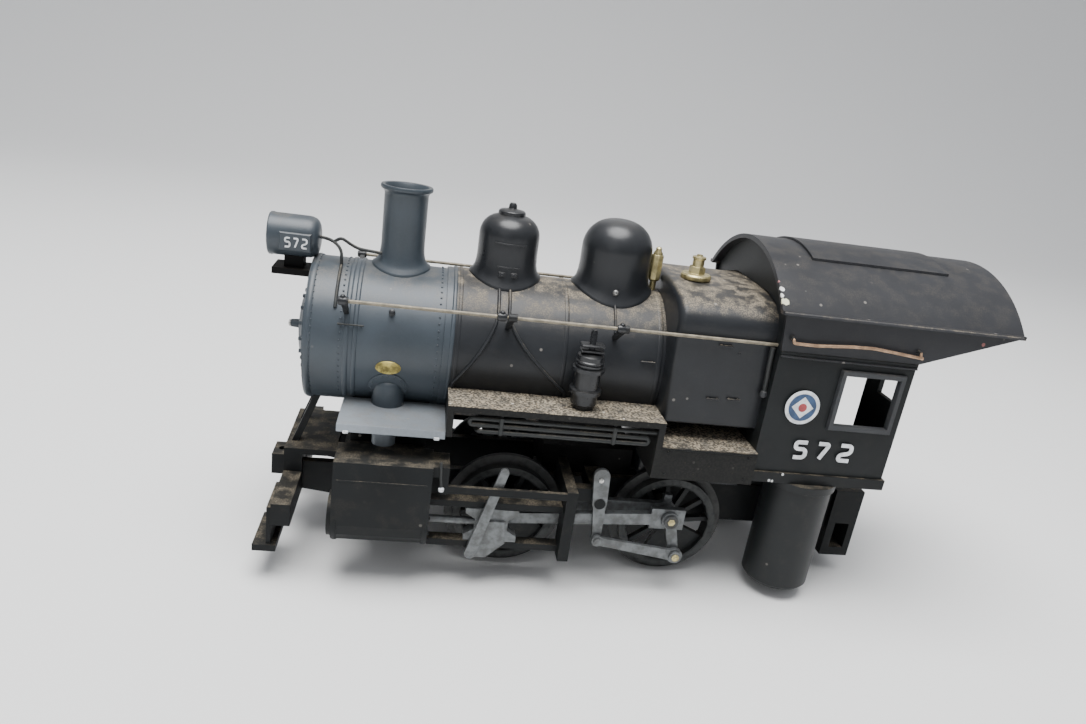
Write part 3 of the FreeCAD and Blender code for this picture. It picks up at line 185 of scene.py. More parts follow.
class Skin:
    """Points and the faces that join them. Two skins add up to one piece."""

    def __init__(self, points, quads=(), tris=()):
        self.points = np.asarray(points, float).reshape(-1, 3)
        self.quads = np.asarray(quads, int).reshape(-1, 4)
        self.tris = np.asarray(tris, int).reshape(-1, 3)

    def __add__(self, other):
        shift = len(self.points)
        return Skin(np.vstack([self.points, other.points]), np.vstack([self.quads, other.quads + shift]),
                    np.vstack([self.tris, other.tris + shift]))

    def mirrored(self):
        """The same skin on the engine's other side, y to -y, with each face turned round to face out."""
        return Skin(self.points * (1, -1, 1), self.quads[:, ::-1], self.tris[:, ::-1])

    def on(self, side):
        """A skin drawn for the left side, put on the given side."""
        return self if side == LEFT else self.mirrored()

    def reading_on(self, side, x):
        """Lettering drawn for the left side, put on the given side by half a turn about an upright line
        at x, which keeps it readable."""
        pivot = np.array([x, 0, 0])
        points = (self.points - pivot) * (-1, -1, 1) + pivot
        return self if side == LEFT else Skin(points, self.quads, self.tris)

    def facing_out(self):
        """The skin with its faces turned so that it holds a positive volume, the sum of the tetrahedra
        between each triangle and the origin."""
        corners = np.vstack([self.tris, self.quads[:, [0, 1, 2]], self.quads[:, [0, 2, 3]]])
        a, b, c = (self.points[corners[:, i]] - self.points.mean(0) for i in range(3))
        if np.einsum("ij,ij->i", a, np.cross(b, c)).sum() < 0:
            self.quads, self.tris = self.quads[:, ::-1], self.tris[:, ::-1]
        return self


def many(skins):
    """All the skins as one."""
    total = Skin([])
    for skin in skins:
        total = total + skin
    return total


def closed_grid(rings):
    """Closed skins from rings of points. rings has the shape (skins, rings, points round, 3). Neighbouring
    points on neighbouring rings make four-sided faces, and a fan to the middle of the first and last ring
    closes each end."""
    count, high, around, _ = rings.shape
    index = np.arange(count * high * around).reshape(count, high, around)
    turned_index = np.roll(index, -1, axis=2)
    quads = np.stack([index[:, :-1], turned_index[:, :-1], turned_index[:, 1:], index[:, 1:]], axis=-1)
    ends = np.concatenate([rings[:, 0].mean(axis=1), rings[:, -1].mean(axis=1)])
    first = count * high * around + np.arange(count)[:, None] + np.zeros((1, around), int)
    last = first + count
    low = np.stack([turned_index[:, 0], index[:, 0], first], axis=-1)
    top = np.stack([index[:, -1], turned_index[:, -1], last], axis=-1)
    return Skin(np.vstack([rings.reshape(-1, 3), ends]), quads, np.concatenate([low, top])).facing_out()


def looped_grid(rings):
    """A closed skin from rings that close on themselves the other way too: the last ring is joined to the
    first, as in a tube that has a bore."""
    high, around, _ = rings.shape
    index = np.arange(high * around).reshape(high, around)
    next_ring, next_point = np.roll(index, -1, axis=0), np.roll(index, -1, axis=1)
    both = np.roll(next_ring, -1, axis=1)
    return Skin(rings.reshape(-1, 3), np.stack([index, next_point, both, next_ring], axis=-1)).facing_out()


def draped(rows, x, radius, sides=96, bore=False):
    """A casting that stands on the barrel. A row is a radius, a height over the barrel's crown and a share
    of drape. A point of its ring at the angle a is (x + r cos a, r sin a, z) with
    z = BARREL_Z + R + height - drape * (R - sqrt(R^2 - (r sin a)^2)), R being the barrel's radius."""
    rows = np.asarray(rows, float)
    turn = np.linspace(0, 2 * np.pi, sides, endpoint=False)
    across, height, drape = rows[:, :1], rows[:, 1:2], rows[:, 2:]
    y = across * np.sin(turn)
    fall = radius - np.sqrt(radius ** 2 - y ** 2)
    rings = np.stack([x + across * np.cos(turn), y, BARREL_Z + radius + height - drape * fall], axis=-1)
    return looped_grid(rings) if bore else closed_grid(rings[None])


def turned(profile, centres, axes, sides=28):
    """Turned shapes, all alike, one on each centre. A profile row is a radius and a height along the axis;
    the ring at that row is centre + height * axis + radius * (across * cos + along * sin)."""
    profile = np.asarray(profile, float)
    centres = np.atleast_2d(np.asarray(centres, float))
    axes = np.broadcast_to(np.asarray(axes, float), centres.shape)
    axes = axes / np.linalg.norm(axes, axis=1, keepdims=True)
    helper = np.where(np.abs(axes[:, 2:]) > 0.9, [[1.0, 0, 0]], [[0, 0, 1.0]])
    across = np.cross(axes, helper)
    across /= np.linalg.norm(across, axis=1, keepdims=True)
    along = np.cross(axes, across)
    angle = np.linspace(0, 2 * np.pi, sides, endpoint=False)
    spoke = (across[:, None] * np.cos(angle)[None, :, None] + along[:, None] * np.sin(angle)[None, :, None])
    rings = (centres[:, None, None] + profile[None, :, 1, None, None] * axes[:, None, None]
             + profile[None, :, 0, None, None] * spoke[:, None])
    return closed_grid(rings)


def turned_ring(profile, centre, axis, sides=96):
    """One turned ring with an open middle, its profile given as a closed loop of radius and height."""
    profile = np.asarray(profile, float)
    axis = np.asarray(axis, float)
    across = np.cross(axis, (0, 0, 1) if abs(axis[2]) < 0.9 else (1, 0, 0))
    along = np.cross(axis, across)
    turn = np.linspace(0, 2 * np.pi, sides, endpoint=False)[None, :, None]
    return looped_grid(np.asarray(centre, float) + profile[:, None, 1:] * -axis
                       + profile[:, None, :1] * (across * np.cos(turn) + along * np.sin(turn)))


def carried(outline, path, up):
    """An outline carried along a path. At each point of the path the outline stands square to it: its
    first number goes along side = tangent x up and its second along side x tangent."""
    path = np.asarray(path, float)
    outline = np.asarray(outline, float)
    tangent = np.gradient(path, axis=0)
    tangent /= np.linalg.norm(tangent, axis=1, keepdims=True)
    side = np.cross(tangent, np.asarray(up, float))
    side /= np.linalg.norm(side, axis=1, keepdims=True)
    upward = np.cross(side, tangent)
    rings = path[:, None] + outline[None, :, :1] * side[:, None] + outline[None, :, 1:] * upward[:, None]
    return closed_grid(rings[None])


def circle(radius, sides=12):
    """A round outline for a bar or a pipe."""
    angle = np.linspace(0, 2 * np.pi, sides, endpoint=False)
    return np.stack([radius * np.cos(angle), radius * np.sin(angle)], axis=1)


def rod(path, radius, up=(0, 0, 1), sides=12):
    """A round bar along a path, a little narrower at its very ends."""
    path = np.asarray(path, float)
    start = path[0] - (path[1] - path[0]) / np.linalg.norm(path[1] - path[0]) * radius * 0.3
    end = path[-1] + (path[-1] - path[-2]) / np.linalg.norm(path[-1] - path[-2]) * radius * 0.3
    skin = carried(circle(radius, sides), path, up)
    skin.points[-2:] = start, end
    return skin


def bent(corners, radius, steps=7):
    """A path through corners, each rounded by a parabola: between the points a and b at the given distance
    before and after a corner c, the point is (1-t)^2 a + 2t(1-t) c + t^2 b."""
    corners = np.asarray(corners, float)
    before = corners[1:-1] - corners[:-2]
    after = corners[2:] - corners[1:-1]
    shorter = np.minimum(np.linalg.norm(before, axis=1), np.linalg.norm(after, axis=1))
    reach = np.minimum(radius, 0.49 * shorter)
    a = corners[1:-1] - before / np.linalg.norm(before, axis=1, keepdims=True) * reach[:, None]
    b = corners[1:-1] + after / np.linalg.norm(after, axis=1, keepdims=True) * reach[:, None]
    t = np.linspace(0, 1, steps)[None, :, None]
    arcs = (1 - t) ** 2 * a[:, None] + 2 * t * (1 - t) * corners[1:-1, None] + t ** 2 * b[:, None]
    return np.vstack([corners[:1], arcs.reshape(-1, 3), corners[-1:]])


def block(low, high, chamfer=0.3):
    """A box with bevelled edges. Each ring is the same rounded rectangle, a chamfer smaller at the first
    and last, so the rings' heights run low, low + chamfer, high - chamfer, high."""
    low, high = np.minimum(low, high), np.maximum(low, high)
    half, middle = (np.asarray(high, float) - low) / 2, (np.asarray(high, float) + low) / 2
    c = min(chamfer, *(0.49 * half))
    x, y = half[0], half[1]
    corner = np.array([[x - c, -y], [x, -y + c], [x, y - c], [x - c, y], [-x + c, y], [-x, y - c],
                       [-x, -y + c], [-x + c, -y]])
    shrink = np.sign(corner) * c
    heights = np.array([-half[2], -half[2] + c, half[2] - c, half[2]])
    inset = np.array([1.0, 0, 0, 1.0])
    flat = corner[None] - shrink[None] * inset[:, None, None]
    rings = np.concatenate([flat, np.broadcast_to(heights[:, None, None], (4, 8, 1))], axis=2) + middle
    return closed_grid(rings[None])


def barrel_point(x, angle, radius):
    """Points on the barrel's cylinder: angle runs down the left side from the crown."""
    x, angle, radius = np.broadcast_arrays(np.asarray(x, float), angle, radius)
    return np.stack([x, -radius * np.sin(angle), BARREL_Z + radius * np.cos(angle)], axis=-1)


def barrel_normal(angle):
    """The way out of the barrel at an angle from its crown."""
    angle = np.asarray(angle, float)
    return np.stack([np.zeros_like(angle), -np.sin(angle), np.cos(angle)], axis=-1)


def barrel_band(x0, x1, radius, rise, start=-180.0, stop=180.0, steps=96):
    """A raised band round the barrel: a low arch of the given rise carried along the circle."""
    angle = np.radians(np.linspace(start, stop, steps))
    share = np.linspace(0, 1, 7)
    xs = x0 + (x1 - x0) * share
    lift = rise * (1 - (2 * share - 1) ** 4)
    top = barrel_point(xs[None], angle[:, None], radius + lift[None])
    under = barrel_point(xs[::-1][None], angle[:, None], radius - 0.5 + 0 * lift[None])
    return closed_grid(np.concatenate([top, under], axis=1)[None])


def barrel_disc(x, angle, radius, half_length, half_height, heights):
    """An oval pad that lies on the barrel. heights rows are a share of the oval's size and a rise:
    a point is x + half_length * share * cos, angle + half_height * share * sin / radius."""
    rows = np.asarray(heights, float)
    turn = np.linspace(0, 2 * np.pi, 48, endpoint=False)
    xs = x + half_length * rows[:, :1] * np.cos(turn)
    angles = angle + half_height * rows[:, :1] * np.sin(turn) / radius
    return closed_grid(barrel_point(xs, angles, radius + rows[:, 1:])[None])


def piece(name, skin, material, body="engine"):
    """Puts a skin into a mesh, gives it its finish and lets it ride on its body."""
    mesh = bpy.data.meshes.new(name)
    faces = skin.quads.tolist() + skin.tris.tolist()
    mesh.from_pydata((skin.points * MM).tolist(), [], faces)
    mesh.update()
    mesh.shade_smooth()
    mesh.set_sharp_from_angle(angle=SMOOTH_ANGLE)
    made = bpy.data.objects.new(name, mesh)
    bpy.context.scene.collection.objects.link(made)
    mesh.materials.append(FINISHES[material])
    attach(made, body)
    return made


# ---------------------------------------------------------------- shader maths


class Field:
    """A number that varies over a surface. Python's operators on it add Math nodes."""

    def __init__(self, finish, socket):
        self.finish = finish
        self.socket = socket

    def maths(self, operation, *others):
        inputs = dict(enumerate((self,) + others))
        made = self.finish.node("ShaderNodeMath", {"operation": operation}, inputs)
        return Field(self.finish, made.outputs[0])

    def __add__(self, other):
        return self.maths("ADD", other)

    __radd__ = __add__

    def __mul__(self, other):
        return self.maths("MULTIPLY", other)

    __rmul__ = __mul__

    def __sub__(self, other):
        return self.maths("SUBTRACT", other)

    def __rsub__(self, other):
        return self.maths("MULTIPLY", -1.0) + other

    def __pow__(self, other):
        return self.maths("POWER", other)

    def __abs__(self):
        return self.maths("ABSOLUTE")

    def below(self, other):
        return self.maths("MINIMUM", other)

    def rise(self, low, high):
        """0 below low, 1 above high and a smooth slope between. With low above high it falls instead."""
        flip = low > high
        low, high = min(low, high), max(low, high)
        node = self.finish.node("ShaderNodeMapRange", {"interpolation_type": "SMOOTHSTEP"},
                                {0: self, 1: low, 2: high})
        found = Field(self.finish, node.outputs[0])
        return 1 - found if flip else found


FINISHES = {}


class Finish:
    """One material's node tree. node() adds any node: its type, then its settings, then its sockets."""

    def __init__(self, name):
        self.material = FINISHES[name] = bpy.data.materials.new(f"engine {name}")
        self.material.use_nodes = True
        self.tree = self.material.node_tree
        self.tree.nodes.clear()
        where = self.node("ShaderNodeTexCoord")
        self.place = where.outputs["Object"]
        self.normal = where.outputs["Normal"]
        self.x, self.y, self.z = self.parts(self.place, 1 / MM)
        self.nx, self.ny, self.nz = self.parts(self.normal, 1)

    def node(self, kind, settings=None, inputs=None):
        made = self.tree.nodes.new(kind)
        for name, value in (settings or {}).items():
            setattr(made, name, value)
        for name, value in (inputs or {}).items():
            value = value.socket if isinstance(value, Field) else value
            if isinstance(value, bpy.types.NodeSocket):
                self.tree.links.new(value, made.inputs[name])
            else:
                made.inputs[name].default_value = value
        return made

    def parts(self, vector, scale):
        """The three numbers of a vector as fields, each times scale."""
        split = self.node("ShaderNodeSeparateXYZ", None, {0: vector})
        found = [Field(self, socket) for socket in split.outputs]
        return found if scale == 1 else [part * scale for part in found]

    def stretched(self, along):
        """The object's coordinates scaled by three factors, for a pattern that is drawn out."""
        return self.node("ShaderNodeMapping", {"vector_type": "POINT"},
                         {"Vector": self.place, "Scale": along}).outputs[0]

    def noise(self, size, detail=3.0, roughness=0.55, along=None):
        """Soft patches of about the given size in millimetres, from 0 to 1."""
        where = self.place if along is None else self.stretched(along)
        made = self.node("ShaderNodeTexNoise", None, {"Vector": where, "Scale": 1 / (size * MM),
                                                      "Detail": detail, "Roughness": roughness})
        return Field(self, made.outputs[0])

    def specks(self, size, share, dot=0.28):
        """Round dots in a share of cells of the given size: 1 inside a dot and 0 outside."""
        made = self.node("ShaderNodeTexVoronoi", {"feature": "F1"},
                         {"Vector": self.place, "Scale": 1 / (size * MM)})
        chosen = self.parts(made.outputs["Color"], 1)[0].rise(share + 0.01, share)
        return Field(self, made.outputs["Distance"]).rise(dot, dot * 0.6) * chosen

    def spot(self, centre, radius, wobble=0.35):
        """A blotch round a point: 1 within the radius, with an edge that wanders."""
        far = self.node("ShaderNodeVectorMath", {"operation": "DISTANCE"},
                        {0: self.place, 1: tuple(np.asarray(centre) * MM)})
        edge = Field(self, far.outputs["Value"]) * (1 / MM) + (self.noise(1.1) - 0.5) * (radius * wobble * 3)
        return edge.rise(radius * 1.08, radius * 0.92)

    def blend(self, factor, a, b, kind="MIX"):
        """Colour a where factor is 0 and b where it is 1."""
        made = self.node("ShaderNodeMix", {"data_type": "RGBA", "blend_type": kind},
                         {0: factor, 6: as_colour(a), 7: as_colour(b)})
        return made.outputs[2]

    def bump(self, height, distance, strength=1.0, onto=None):
        """A normal from a height in millimetres."""
        inputs = {"Height": height, "Distance": distance * MM, "Strength": strength}
        if onto is not None:
            inputs["Normal"] = onto
        return self.node("ShaderNodeBump", None, inputs).outputs[0]

    def rounded(self, radius):
        """A normal that rounds sharp edges by the given radius in millimetres."""
        return self.node("ShaderNodeBevel", {"samples": 4}, {"Radius": radius * MM}).outputs[0]

    def done(self, **sockets):
        """Links the surface's shader. A socket's name is written with underscores for spaces."""
        inputs = {name.replace("_", " "): as_colour(value) for name, value in sockets.items()}
        surface = self.node("ShaderNodeBsdfPrincipled", None, inputs)
        self.node("ShaderNodeOutputMaterial", None, {"Surface": surface.outputs[0]})
        return self.material


def as_colour(value):
    """Three numbers as a four-number colour; anything else as it is."""
    plain = isinstance(value, (tuple, list)) or type(value).__name__ in ("Color", "bpy_prop_array")
    return (*value, 1.0) if plain and len(value) == 3 else value


def times(colour, factor):
    """A colour made lighter or darker."""
    return tuple(float(c) * factor for c in colour)


def painted(name, colour, gloss=0.38, dust=0.5, dust_side=0.05, grain=0.25, grain_height=0.012,
            metallic=0.0, wear=0.3, lint=0.008, specular=0.3, marks=None):
    """Paint on a casting: cloudy colour, dust on upward faces, fine grain, scuffs and lint.
    The dust is (how far the face looks up) times a patchy noise. marks adds a finish's own colours last."""
    paints = bpy.context.scene.engine_paints
    f = Finish(name)
    cloud, patch, fine = f.noise(24, 3), f.noise(5.5, 4), f.noise(0.9, 2)
    tone = f.blend(cloud.rise(0.3, 0.7), times(colour, 0.86), times(colour, 1.16))
    tone = f.blend((fine - 0.4) * 0.35, tone, times(colour, 1.7))
    up = f.nz.rise(0.45, 1.0)
    crumbs = f.noise(0.55, 2, 0.7).rise(0.44, 0.60)
    lying = up * dust * (0.15 + patch.rise(0.40, 0.62) * 0.85) + dust_side * patch.rise(0.5, 0.72)
    lying = (lying * (0.35 + crumbs * 0.9)).below(1.0)
    tone = f.blend(lying, tone, paints.dust)
    scuff = f.noise(7, 5, 0.7, (0.35, 1, 2.2)).rise(0.66, 0.74) * wear
    tone = f.blend(scuff * 0.45, tone, times(colour, 2.6))
    tone = f.blend(f.specks(2.6, lint) * 0.5, tone, (0.30, 0.28, 0.25))
    if marks:
        tone = marks(f, tone)
    rough = (gloss + (cloud - 0.5) * 0.12 + lying * 0.42 + (fine - 0.5) * 0.08 - scuff * 0.06).below(0.95)
    relief = f.noise(grain, 2) + fine * 0.8 + lying * f.noise(0.5, 3) * 2.0
    normal = f.bump(relief, grain_height, 0.55, f.rounded(0.22))
    return f.done(Base_Color=tone, Roughness=rough, Normal=normal, Metallic=metallic,
                  Specular_IOR_Level=specular)


def metal(name, colour, gloss=0.36, brushed=None, tarnish=(0.05, 0.045, 0.035), tarnished=0.5, metallic=0.85,
          marks=None):
    """Bare metal: a brushed or cast surface with darker tarnish in patches and rounded edges."""
    f = Finish(name)
    patch, fine = f.noise(3.2, 4), f.noise(0.5, 2)
    hair = f.noise(0.35, 2, 0.6, brushed) if brushed else fine
    tone = f.blend(patch.rise(0.35, 0.68), times(colour, 0.84), times(colour, 1.12))
    grime = patch.rise(0.62, 0.34) * tarnished * (0.5 + fine * 0.7)
    tone = f.blend(grime, tone, tarnish)
    if marks:
        tone = marks(f, tone)
    rough = gloss + (hair - 0.5) * 0.22 + grime * 0.3
    normal = f.bump(hair + patch * 0.6, 0.008, 0.5, f.rounded(0.15))
    return f.done(Base_Color=tone, Roughness=rough, Normal=normal, Metallic=metallic)


# ---------------------------------------------------------------- marks that single finishes add


def roof_marks(f, tone):
    """Paint lost at the front edge above the left eave, and a faint lighter gutter line along both eaves."""
    front, eave = ROOF[0][0], 122.2
    for along, across, height, radius, shade in ((0.8, -36.0, 129.3, 1.0, (0.72, 0.72, 0.70)),
                                                 (1.3, -40.2, 125.6, 1.5, (0.72, 0.71, 0.50)),
                                                 (0.2, -38.3, 127.4, 0.9, (0.74, 0.74, 0.70)),
                                                 (0.2, -33.0, 131.2, 0.5, (0.40, 0.16, 0.16)),
                                                 (83.0, -42.4, 118.0, 0.7, (0.26, 0.10, 0.09))):
        tone = f.blend(f.spot((front + along, across, height), radius), tone, shade)
    worn = (abs(f.z - eave)).rise(0.9, 0.4) * f.noise(4, 4).rise(0.4, 0.6)
    return f.blend(worn * 0.5, tone, (0.16, 0.125, 0.095))


def floor_chips(f, tone):
    """Small light scratches along the edge of the cab floor."""
    for x, z in ((56.0, 54.6), (57.3, 54.4), (61.0, 57.6)):
        tone = f.blend(f.spot((x, -43.0, z), 0.55), tone, (0.55, 0.56, 0.55))
    return tone


def rail_posts(f, tone):
    """Black paint on a handrail's posts, which is all that stands away from its wire."""
    away = ((abs(f.y) - RAIL_Y) ** 2 + (f.z - RAIL_Z) ** 2) ** 0.5
    return f.blend(away.rise(0.72, 0.85), tone, (0.008, 0.0085, 0.009))


def wheel_marks(f, tone):
    """Lighter worn rim and tread: the distance from the nearer axle tells where the rim is."""
    middle = (AXLE_X["rear"] + AXLE_X["front"]) / 2
    half = (AXLE_X["rear"] - AXLE_X["front"]) / 2
    out = ((abs(f.x - middle) - half) ** 2 + (f.z - AXLE_Z) ** 2) ** 0.5
    rim = out.rise(17.6, 18.2) * f.noise(2.5, 3).rise(0.2, 0.6)
    tone = f.blend(rim * 0.55, tone, (0.062, 0.065, 0.064))
    tread = out.rise(20.2, 20.6) * f.noise(6, 3).rise(0.3, 0.6)
    return f.blend(tread * 0.35, tone, (0.085, 0.083, 0.080))


def board_edge_darkening(f, tone):
    """Faces that do not look up, the board's edges and underside, darkened almost to black below the gritty
    top.
    """
    return f.blend(f.nz.rise(0.7, 0.4) * 0.95, tone, (0.0070, 0.0075, 0.0075))


def gritty(name):
    """Sanded walkway: pebbles about half a millimetre across, dusty on top and dark between."""
    paints = bpy.context.scene.engine_paints
    f = Finish(name)
    cell = f.node("ShaderNodeTexVoronoi", {"feature": "SMOOTH_F1"},
                  {"Vector": f.place, "Scale": 1 / (0.8 * MM)})
    pebble = Field(f, cell.outputs["Distance"])
    patch, cloud, fine = f.noise(4.5, 5, 0.65), f.noise(20, 3), f.noise(0.6, 3)
    tone = f.blend(cloud.rise(0.3, 0.7), (0.085, 0.080, 0.068), (0.150, 0.138, 0.116))
    lying = f.nz.rise(0.5, 0.9) * patch.rise(0.28, 0.66) * (0.55 + fine * 0.6)
    tone = f.blend(lying.below(1.0), tone, times(paints.dust, 1.5))
    tone = f.blend(pebble.rise(0.30, 0.55) * 0.8, tone, (0.022, 0.020, 0.018))
    tone = f.blend(f.specks(1.4, 0.16) * 0.8, tone, (0.36, 0.26, 0.17))
    tone = f.blend(f.specks(2.3, 0.05) * 0.9, tone, (0.55, 0.52, 0.45))
    # Darker on faces that do not look up: the board's edges go almost black.
    tone = board_edge_darkening(f, tone)
    relief = (pebble * -1.0 + fine * 0.35 + patch * 0.6) * f.nz.rise(0.3, 0.7)
    normal = f.bump(relief, 0.14, 0.9, f.rounded(0.25))
    rough = (0.62 + lying * 0.3 + (fine - 0.5) * 0.1).below(0.97)
    return f.done(Base_Color=tone, Roughness=rough, Normal=normal, Specular_IOR_Level=0.2)


def make_finishes():
    """Every finish of the engine, by the names of the record's material slots and of the trim."""
    p = bpy.context.scene.engine_paints
    graphite, black, chassis = p.graphite, p.black, p.chassis
    painted("graphite_paint", graphite, 0.40, dust=0.20, dust_side=0.02, wear=0.25, metallic=0.1,
            specular=0.5)
    painted("door_paint", times(graphite, 0.9), 0.44, dust=0.20, dust_side=0.02, metallic=0.1)
    painted("boiler_black", black, 0.36, dust=0.85, dust_side=0.02, wear=0.35, lint=0.02)
    painted("dome_black", times(black, 0.8), 0.30, dust=0.05, dust_side=0.005, wear=0.1, lint=0.0,
            grain_height=0.004, specular=0.45)
    painted("cab_black", p.cab_black, 0.46, dust=0.35, dust_side=0.015, wear=0.2, specular=0.2)
    painted("roof_black", p.roof_black, 0.44, dust=0.06, dust_side=0.02, wear=0.5, lint=0.02,
            marks=roof_marks)
    painted("gutter_worn", times(p.roof_black, 1.6), 0.5, dust=0.6, dust_side=0.12, wear=0.9)
    painted("chassis_black", chassis, 0.5, dust=0.42, dust_side=0.02, wear=0.3, specular=0.15)
    painted("floor_black", chassis, 0.45, dust=0.35, dust_side=0.02, wear=0.6, specular=0.2,
            marks=floor_chips)
    painted("cylinder_black", times(chassis, 1.2), 0.48, dust=0.34, dust_side=0.03, wear=0.3, specular=0.15)
    painted("saddle_black", chassis, 0.5, dust=0.4, dust_side=0.02, specular=0.15)
    painted("tank_black", times(chassis, 1.3), 0.42, dust=0.35, dust_side=0.02, wear=0.3, specular=0.25)
    painted("motor_black", (0.004, 0.004, 0.004), 0.6, dust=0.1, dust_side=0.01, specular=0.1)
    painted("frame_grey", (0.036, 0.038, 0.041), 0.5, dust=0.1, dust_side=0.04)
    painted("pipe_grey", (0.026, 0.028, 0.028), 0.48, dust=0.35, dust_side=0.03, metallic=0.2)
    painted("wheel_grey", (0.013, 0.0145, 0.015), 0.5, dust=0.15, dust_side=0.04, wear=0.4, specular=0.2,
            marks=wheel_marks)
    painted("plate_silver", (0.23, 0.255, 0.28), 0.40, dust=0.25, dust_side=0.02, metallic=0.3, wear=0.3)
    gritty("running_board_grit")
    metal("rod_steel", p.rods, 0.42, brushed=(0.12, 1, 1), metallic=0.55, tarnished=0.35)
    metal("rod_shadow", times(p.rods, 0.42), 0.5, brushed=(0.12, 1, 1), metallic=0.45, tarnished=0.6)
    metal("axle_steel", (0.36, 0.36, 0.35), 0.34, brushed=(1, 0.12, 1))
    metal("motor_steel", (0.20, 0.20, 0.205), 0.40)
    metal("bright_steel", (0.62, 0.62, 0.60), 0.25, metallic=0.95, tarnished=0.3)
    metal("rail_wire", (0.235, 0.205, 0.150), 0.5, brushed=(0.1, 1, 1), metallic=0.25, tarnished=0.3,
          marks=rail_posts)
    metal("brass", p.brass, 0.34, tarnish=(0.13, 0.11, 0.05), metallic=0.75)
    metal("plate_brass", (0.48, 0.40, 0.12), 0.4, tarnish=(0.10, 0.08, 0.03), metallic=0.6, tarnished=0.8)
    metal("copper", (0.46, 0.30, 0.19), 0.36, brushed=(0.1, 1, 1), tarnish=(0.14, 0.09, 0.06), metallic=0.6)
    metal("white_enamel", (0.74, 0.76, 0.78), 0.5, tarnish=(0.42, 0.44, 0.46), tarnished=0.25, metallic=0.0)
    metal("blue_enamel", (0.035, 0.075, 0.16), 0.5, tarnish=(0.02, 0.03, 0.06), tarnished=0.3, metallic=0.0)
    metal("red_enamel", (0.36, 0.055, 0.06), 0.5, tarnish=(0.2, 0.05, 0.05), tarnished=0.3, metallic=0.0)
    f = Finish("lens_glass")
    smear = f.noise(3, 4)
    f.done(Base_Color=f.blend(smear.rise(0.3, 0.7), (0.62, 0.64, 0.62), (0.74, 0.74, 0.70)),
           Roughness=0.06 + smear * 0.08, Normal=f.bump(f.noise(1.5, 2), 0.01, 0.3), Transmission_Weight=0.6,
           IOR=1.49)


PAINT_OF = {"cab_floor": "floor_black", "motor_case": "motor_black", "headlight_bracket": "motor_black"}


class ENGINE_OT_paint_frame(bpy.types.Operator):
    """Gives every CAD node the finish of its material slot"""

    bl_idname = "engine.paint_frame"
    bl_label = "Paint the frame"

    def execute(self, context):
        make_finishes()
        slot_of = {row["node"]: row["material_slot"] for row in frame["record"]["subparts"]}
        for name, node in NODES.items():
            finish = FINISHES[PAINT_OF.get(name, slot_of[name])]
            node.data.materials.clear()
            node.data.materials.append(finish)
        return {"FINISHED"}


# ---------------------------------------------------------------- smooth castings in place of plain ones


